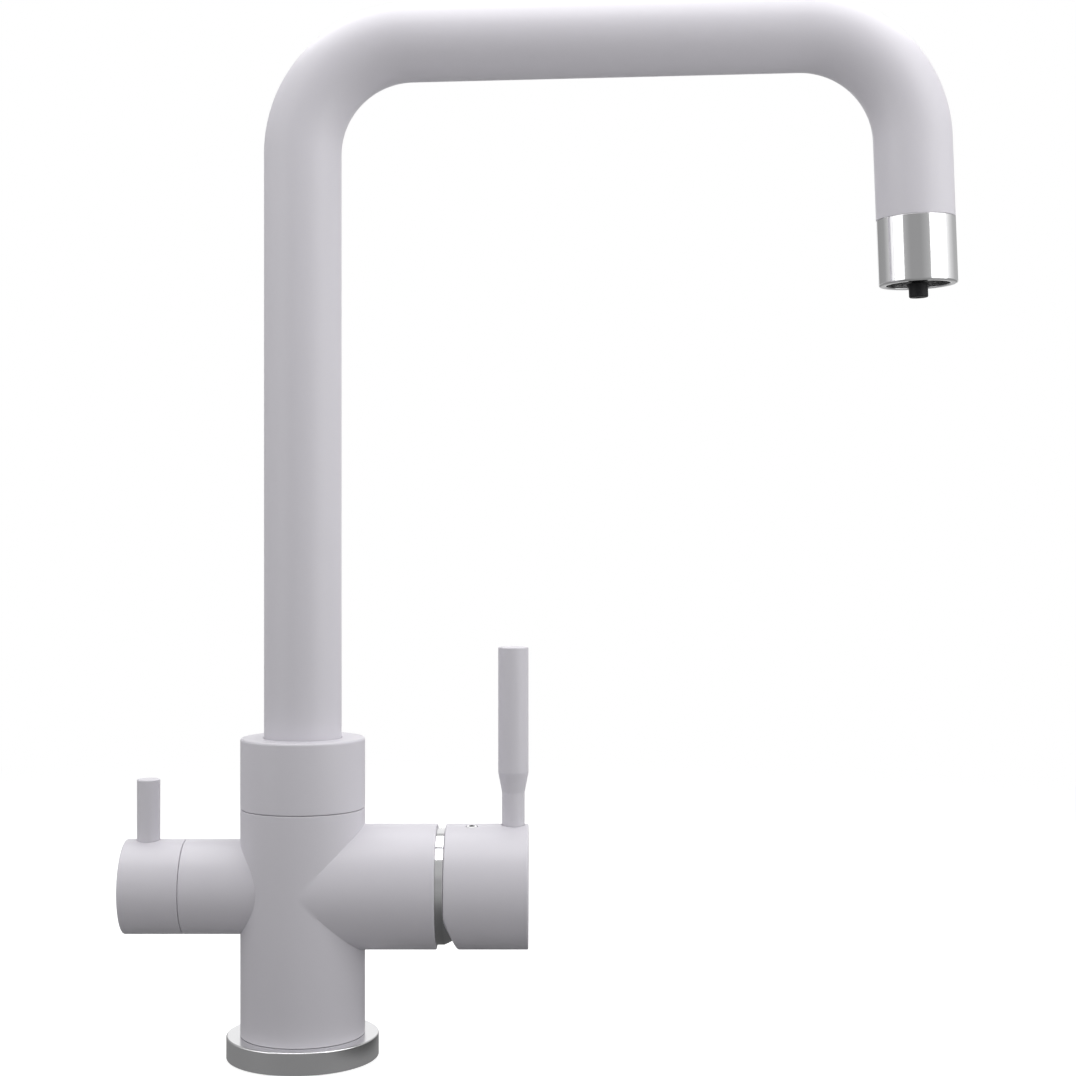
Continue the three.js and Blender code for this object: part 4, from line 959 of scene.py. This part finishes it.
# ---------------------------------------------------------------- filter knob and its pin
# A coated brass knob on the quarter turn valve. The coated pin screws through it onto the
# valve's spindle and is the handle.

KNOB_START = 42.68 * mm
KNOB_END = 64.2 * mm
KNOB_HOLLOW = 14.8 * mm
KNOB_HOLLOW_FLOOR = 50.2 * mm
HUB_RADIUS = 7.0 * mm
HUB_START = 44.2 * mm
HUB_BORE = 4.3 * mm
HUB_BORE_FLOOR = 58.8 * mm
PIN_REACH = 56.1 * mm
PIN_RADIUS = 4.15 * mm
PIN_HOLE_GAP = 0.15 * mm
PIN_HOLE_FLOOR = 15.9 * mm
PIN_HOLE_LENGTH = 10 * mm
PIN_TIP = 65.3 * mm
PIN_TIP_RADIUS = 2.9 * mm
PIN_SHOULDER = 77.8 * mm
PIN_TOP = 100.6 * mm


def along_minus_x(points, height):
    """Turns a grid made about +Z so that its axis points along -X, at a height."""
    return np.stack([-points[..., 2], points[..., 1], height + points[..., 0]], axis=-1)


knob_profile = rounded([
    (HUB_BORE, HUB_START, 0), (HUB_RADIUS, HUB_START, CRISP_EDGE),
    (HUB_RADIUS, KNOB_HOLLOW_FLOOR, 0), (KNOB_HOLLOW, KNOB_HOLLOW_FLOOR, 0),
    (KNOB_HOLLOW, KNOB_START, CRISP_EDGE), (FILTER_ARM_RADIUS, KNOB_START, BROKEN_EDGE),
    (FILTER_ARM_RADIUS, KNOB_END, BROKEN_EDGE), (0.0, KNOB_END, 0),
    (0.0, HUB_BORE_FLOOR, 0), (HUB_BORE, HUB_BORE_FLOOR, 0),
])
knob = grid_piece(along_minus_x(revolve(knob_profile), ARM_HEIGHT), "coated_knob", white_coat,
                  "filter_lever", "filter_knob")
drill(knob, PIN_RADIUS + PIN_HOLE_GAP, (-PIN_REACH, 0, ARM_HEIGHT + PIN_HOLE_FLOOR), UP,
      PIN_HOLE_LENGTH)

pin_profile = rounded([
    (0.0, PIN_TIP, 0), (PIN_TIP_RADIUS, PIN_TIP, 0), (PIN_TIP_RADIUS, PIN_SHOULDER, 0),
    (PIN_RADIUS, PIN_SHOULDER, 0), (PIN_RADIUS, PIN_TOP, BROKEN_EDGE), (0.0, PIN_TOP, 0),
])
grid_piece(revolve(pin_profile, COARSE) + np.array([-PIN_REACH, 0, 0]), "coated_pin",
           white_coat, "filter_lever", "filter_pin", wrap_rows=False)


# ---------------------------------------------------------------- fixing kit under the worktop
# A brass shank with a fine thread, a rubber and a steel washer, and a hexagon back nut, which
# clamp the tap to the worktop from below.

SHANK_RADIUS = 16.5 * mm
SHANK_BORE = 14.2 * mm
SHANK_BOTTOM = -62.0 * mm
SHANK_TOP = 8.6 * mm
SHANK_CHAMFER = 1.2 * mm
SHANK_SIDES = 72
PITCH = 1.5 * mm
ROWS_PER_PITCH = 6
THREAD_DEPTH = 0.75 * mm
THREAD_FLAT = 1.15
THREAD_SLOPE = 2.6
WASHER_BORE = 16.9 * mm
WASHER_RADIUS = 27.5 * mm
NUT_TOP = -35.6 * mm
NUT_BOTTOM = -43.6 * mm
NUT_APOTHEM = 23.0 * mm
NUT_BORE = 16.8 * mm
NUT_LEAD_IN = 0.6 * mm
NUT_FACE = NUT_APOTHEM - 0.4 * mm
NUT_CONE = math.radians(30)
NUT_SIDES = 192

brass = finish("machined_brass", (0.72, 0.55, 0.28), 0.30, metallic=1.0, tone=0.05,
               roughness_spread=0.12, bump_scale=300.0, bump_height=4e-6, stretch=(1, 1, 14))
steel = finish("plain_steel", (0.56, 0.57, 0.59), 0.34, metallic=1.0, tone=0.04,
               roughness_spread=0.12, bump_scale=350.0, bump_height=3e-6, stretch=(1, 10, 10))


def thread_rows():
    """Helix: the radius falls from the crest by depth times a triangle wave of
    height / pitch - angle / turn, and fades to a plain chamfer at the open end."""
    count = int((SHANK_TOP - SHANK_BOTTOM) / PITCH * ROWS_PER_PITCH)
    height = np.linspace(SHANK_BOTTOM, SHANK_TOP, count)[:, None]
    angle = circle(SHANK_SIDES)[None, :]
    phase = (height / PITCH - angle / (2 * math.pi)) % 1.0
    groove = THREAD_DEPTH * np.clip(THREAD_FLAT - np.abs(phase - 0.5) * THREAD_SLOPE, 0, 1)
    chamfer = np.clip((SHANK_BOTTOM + SHANK_CHAMFER - height) / SHANK_CHAMFER, 0, 1)
    return turned(SHANK_RADIUS - np.maximum(groove, chamfer * THREAD_DEPTH), angle, height)


bore_rows = revolve(np.array([[SHANK_BORE, SHANK_TOP], [SHANK_BORE, SHANK_BOTTOM]]),
                    SHANK_SIDES)
grid_piece(np.concatenate([thread_rows(), bore_rows]), "threaded_shank", brass, "root",
           "fixing_shank", sharp=70)


def washer(name, top, thickness, fillet, material, cad):
    """Flat ring that slips over the shank."""
    bottom = top - thickness
    profile = rounded([(WASHER_BORE, bottom, fillet), (WASHER_RADIUS, bottom, fillet),
                       (WASHER_RADIUS, top, fillet), (WASHER_BORE, top, fillet)],
                      steps=4, guard=0.1 * mm)
    grid_piece(revolve(profile, PLAIN), name, material, "root", cad)


washer("rubber_washer", -30.0 * mm, 3.0 * mm, 0.5 * mm, black_rubber, "clamp_seal")
washer("steel_washer", -33.3 * mm, 2.0 * mm, 0.3 * mm, steel, "clamp_washer")


def nut_points():
    """Hexagon r = apothem / cos(a from the nearest flat), its corners taken down by a 30 degree
    cone above and below, with a bore that has a small lead-in."""
    angle = circle(NUT_SIDES)
    from_flat = (angle + math.pi / 6) % (math.pi / 3) - math.pi / 6
    hexagon = NUT_APOTHEM / np.cos(from_flat)
    drop = np.maximum(hexagon - NUT_FACE, 0) * math.tan(NUT_CONE)
    rows = [(NUT_BORE, NUT_BOTTOM + NUT_LEAD_IN), (NUT_BORE + NUT_LEAD_IN, NUT_BOTTOM),
            (NUT_FACE, NUT_BOTTOM), (hexagon, NUT_BOTTOM + drop), (hexagon, NUT_TOP - drop),
            (NUT_FACE, NUT_TOP), (NUT_BORE + NUT_LEAD_IN, NUT_TOP),
            (NUT_BORE, NUT_TOP - NUT_LEAD_IN)]
    return np.array([turned(radius, angle, height) for radius, height in rows])


grid_piece(nut_points(), "hexagon_nut", brass, "root", "back_nut", sharp=15)


# ---------------------------------------------------------------- pieces inside the tap
# Cartridge, filter valve, spigot, seals and screws keep the shapes that the frame gives them,
# each with the finish of its own material.

grey_plastic = finish("grey_plastic", (0.60, 0.61, 0.63), 0.42, tone=0.03, bump_scale=1600.0,
                      bump_height=3e-6)
ceramic = finish("lapped_ceramic", (0.90, 0.89, 0.86), 0.16, tone=0.01, bump_scale=2500.0,
                 bump_height=5e-7)
tube_plastic = finish("water_tube", (0.83, 0.85, 0.86), 0.30, tone=0.02, bump_scale=900.0,
                      bump_height=2e-6)
inner_finishes = {"brass": brass, "steel": steel, "black_rubber": black_rubber,
                  "grey_plastic": grey_plastic, "ceramic": ceramic, "clear_tube": tube_plastic}
slot_of = {entry["node"]: entry["material_slot"] for entry in frame["record"]["subparts"]}
for name, cad_node in frame["nodes"].items():
    if slot_of[name] in inner_finishes:
        cad_node.data.materials.clear()
        cad_node.data.materials.append(inner_finishes[slot_of[name]])
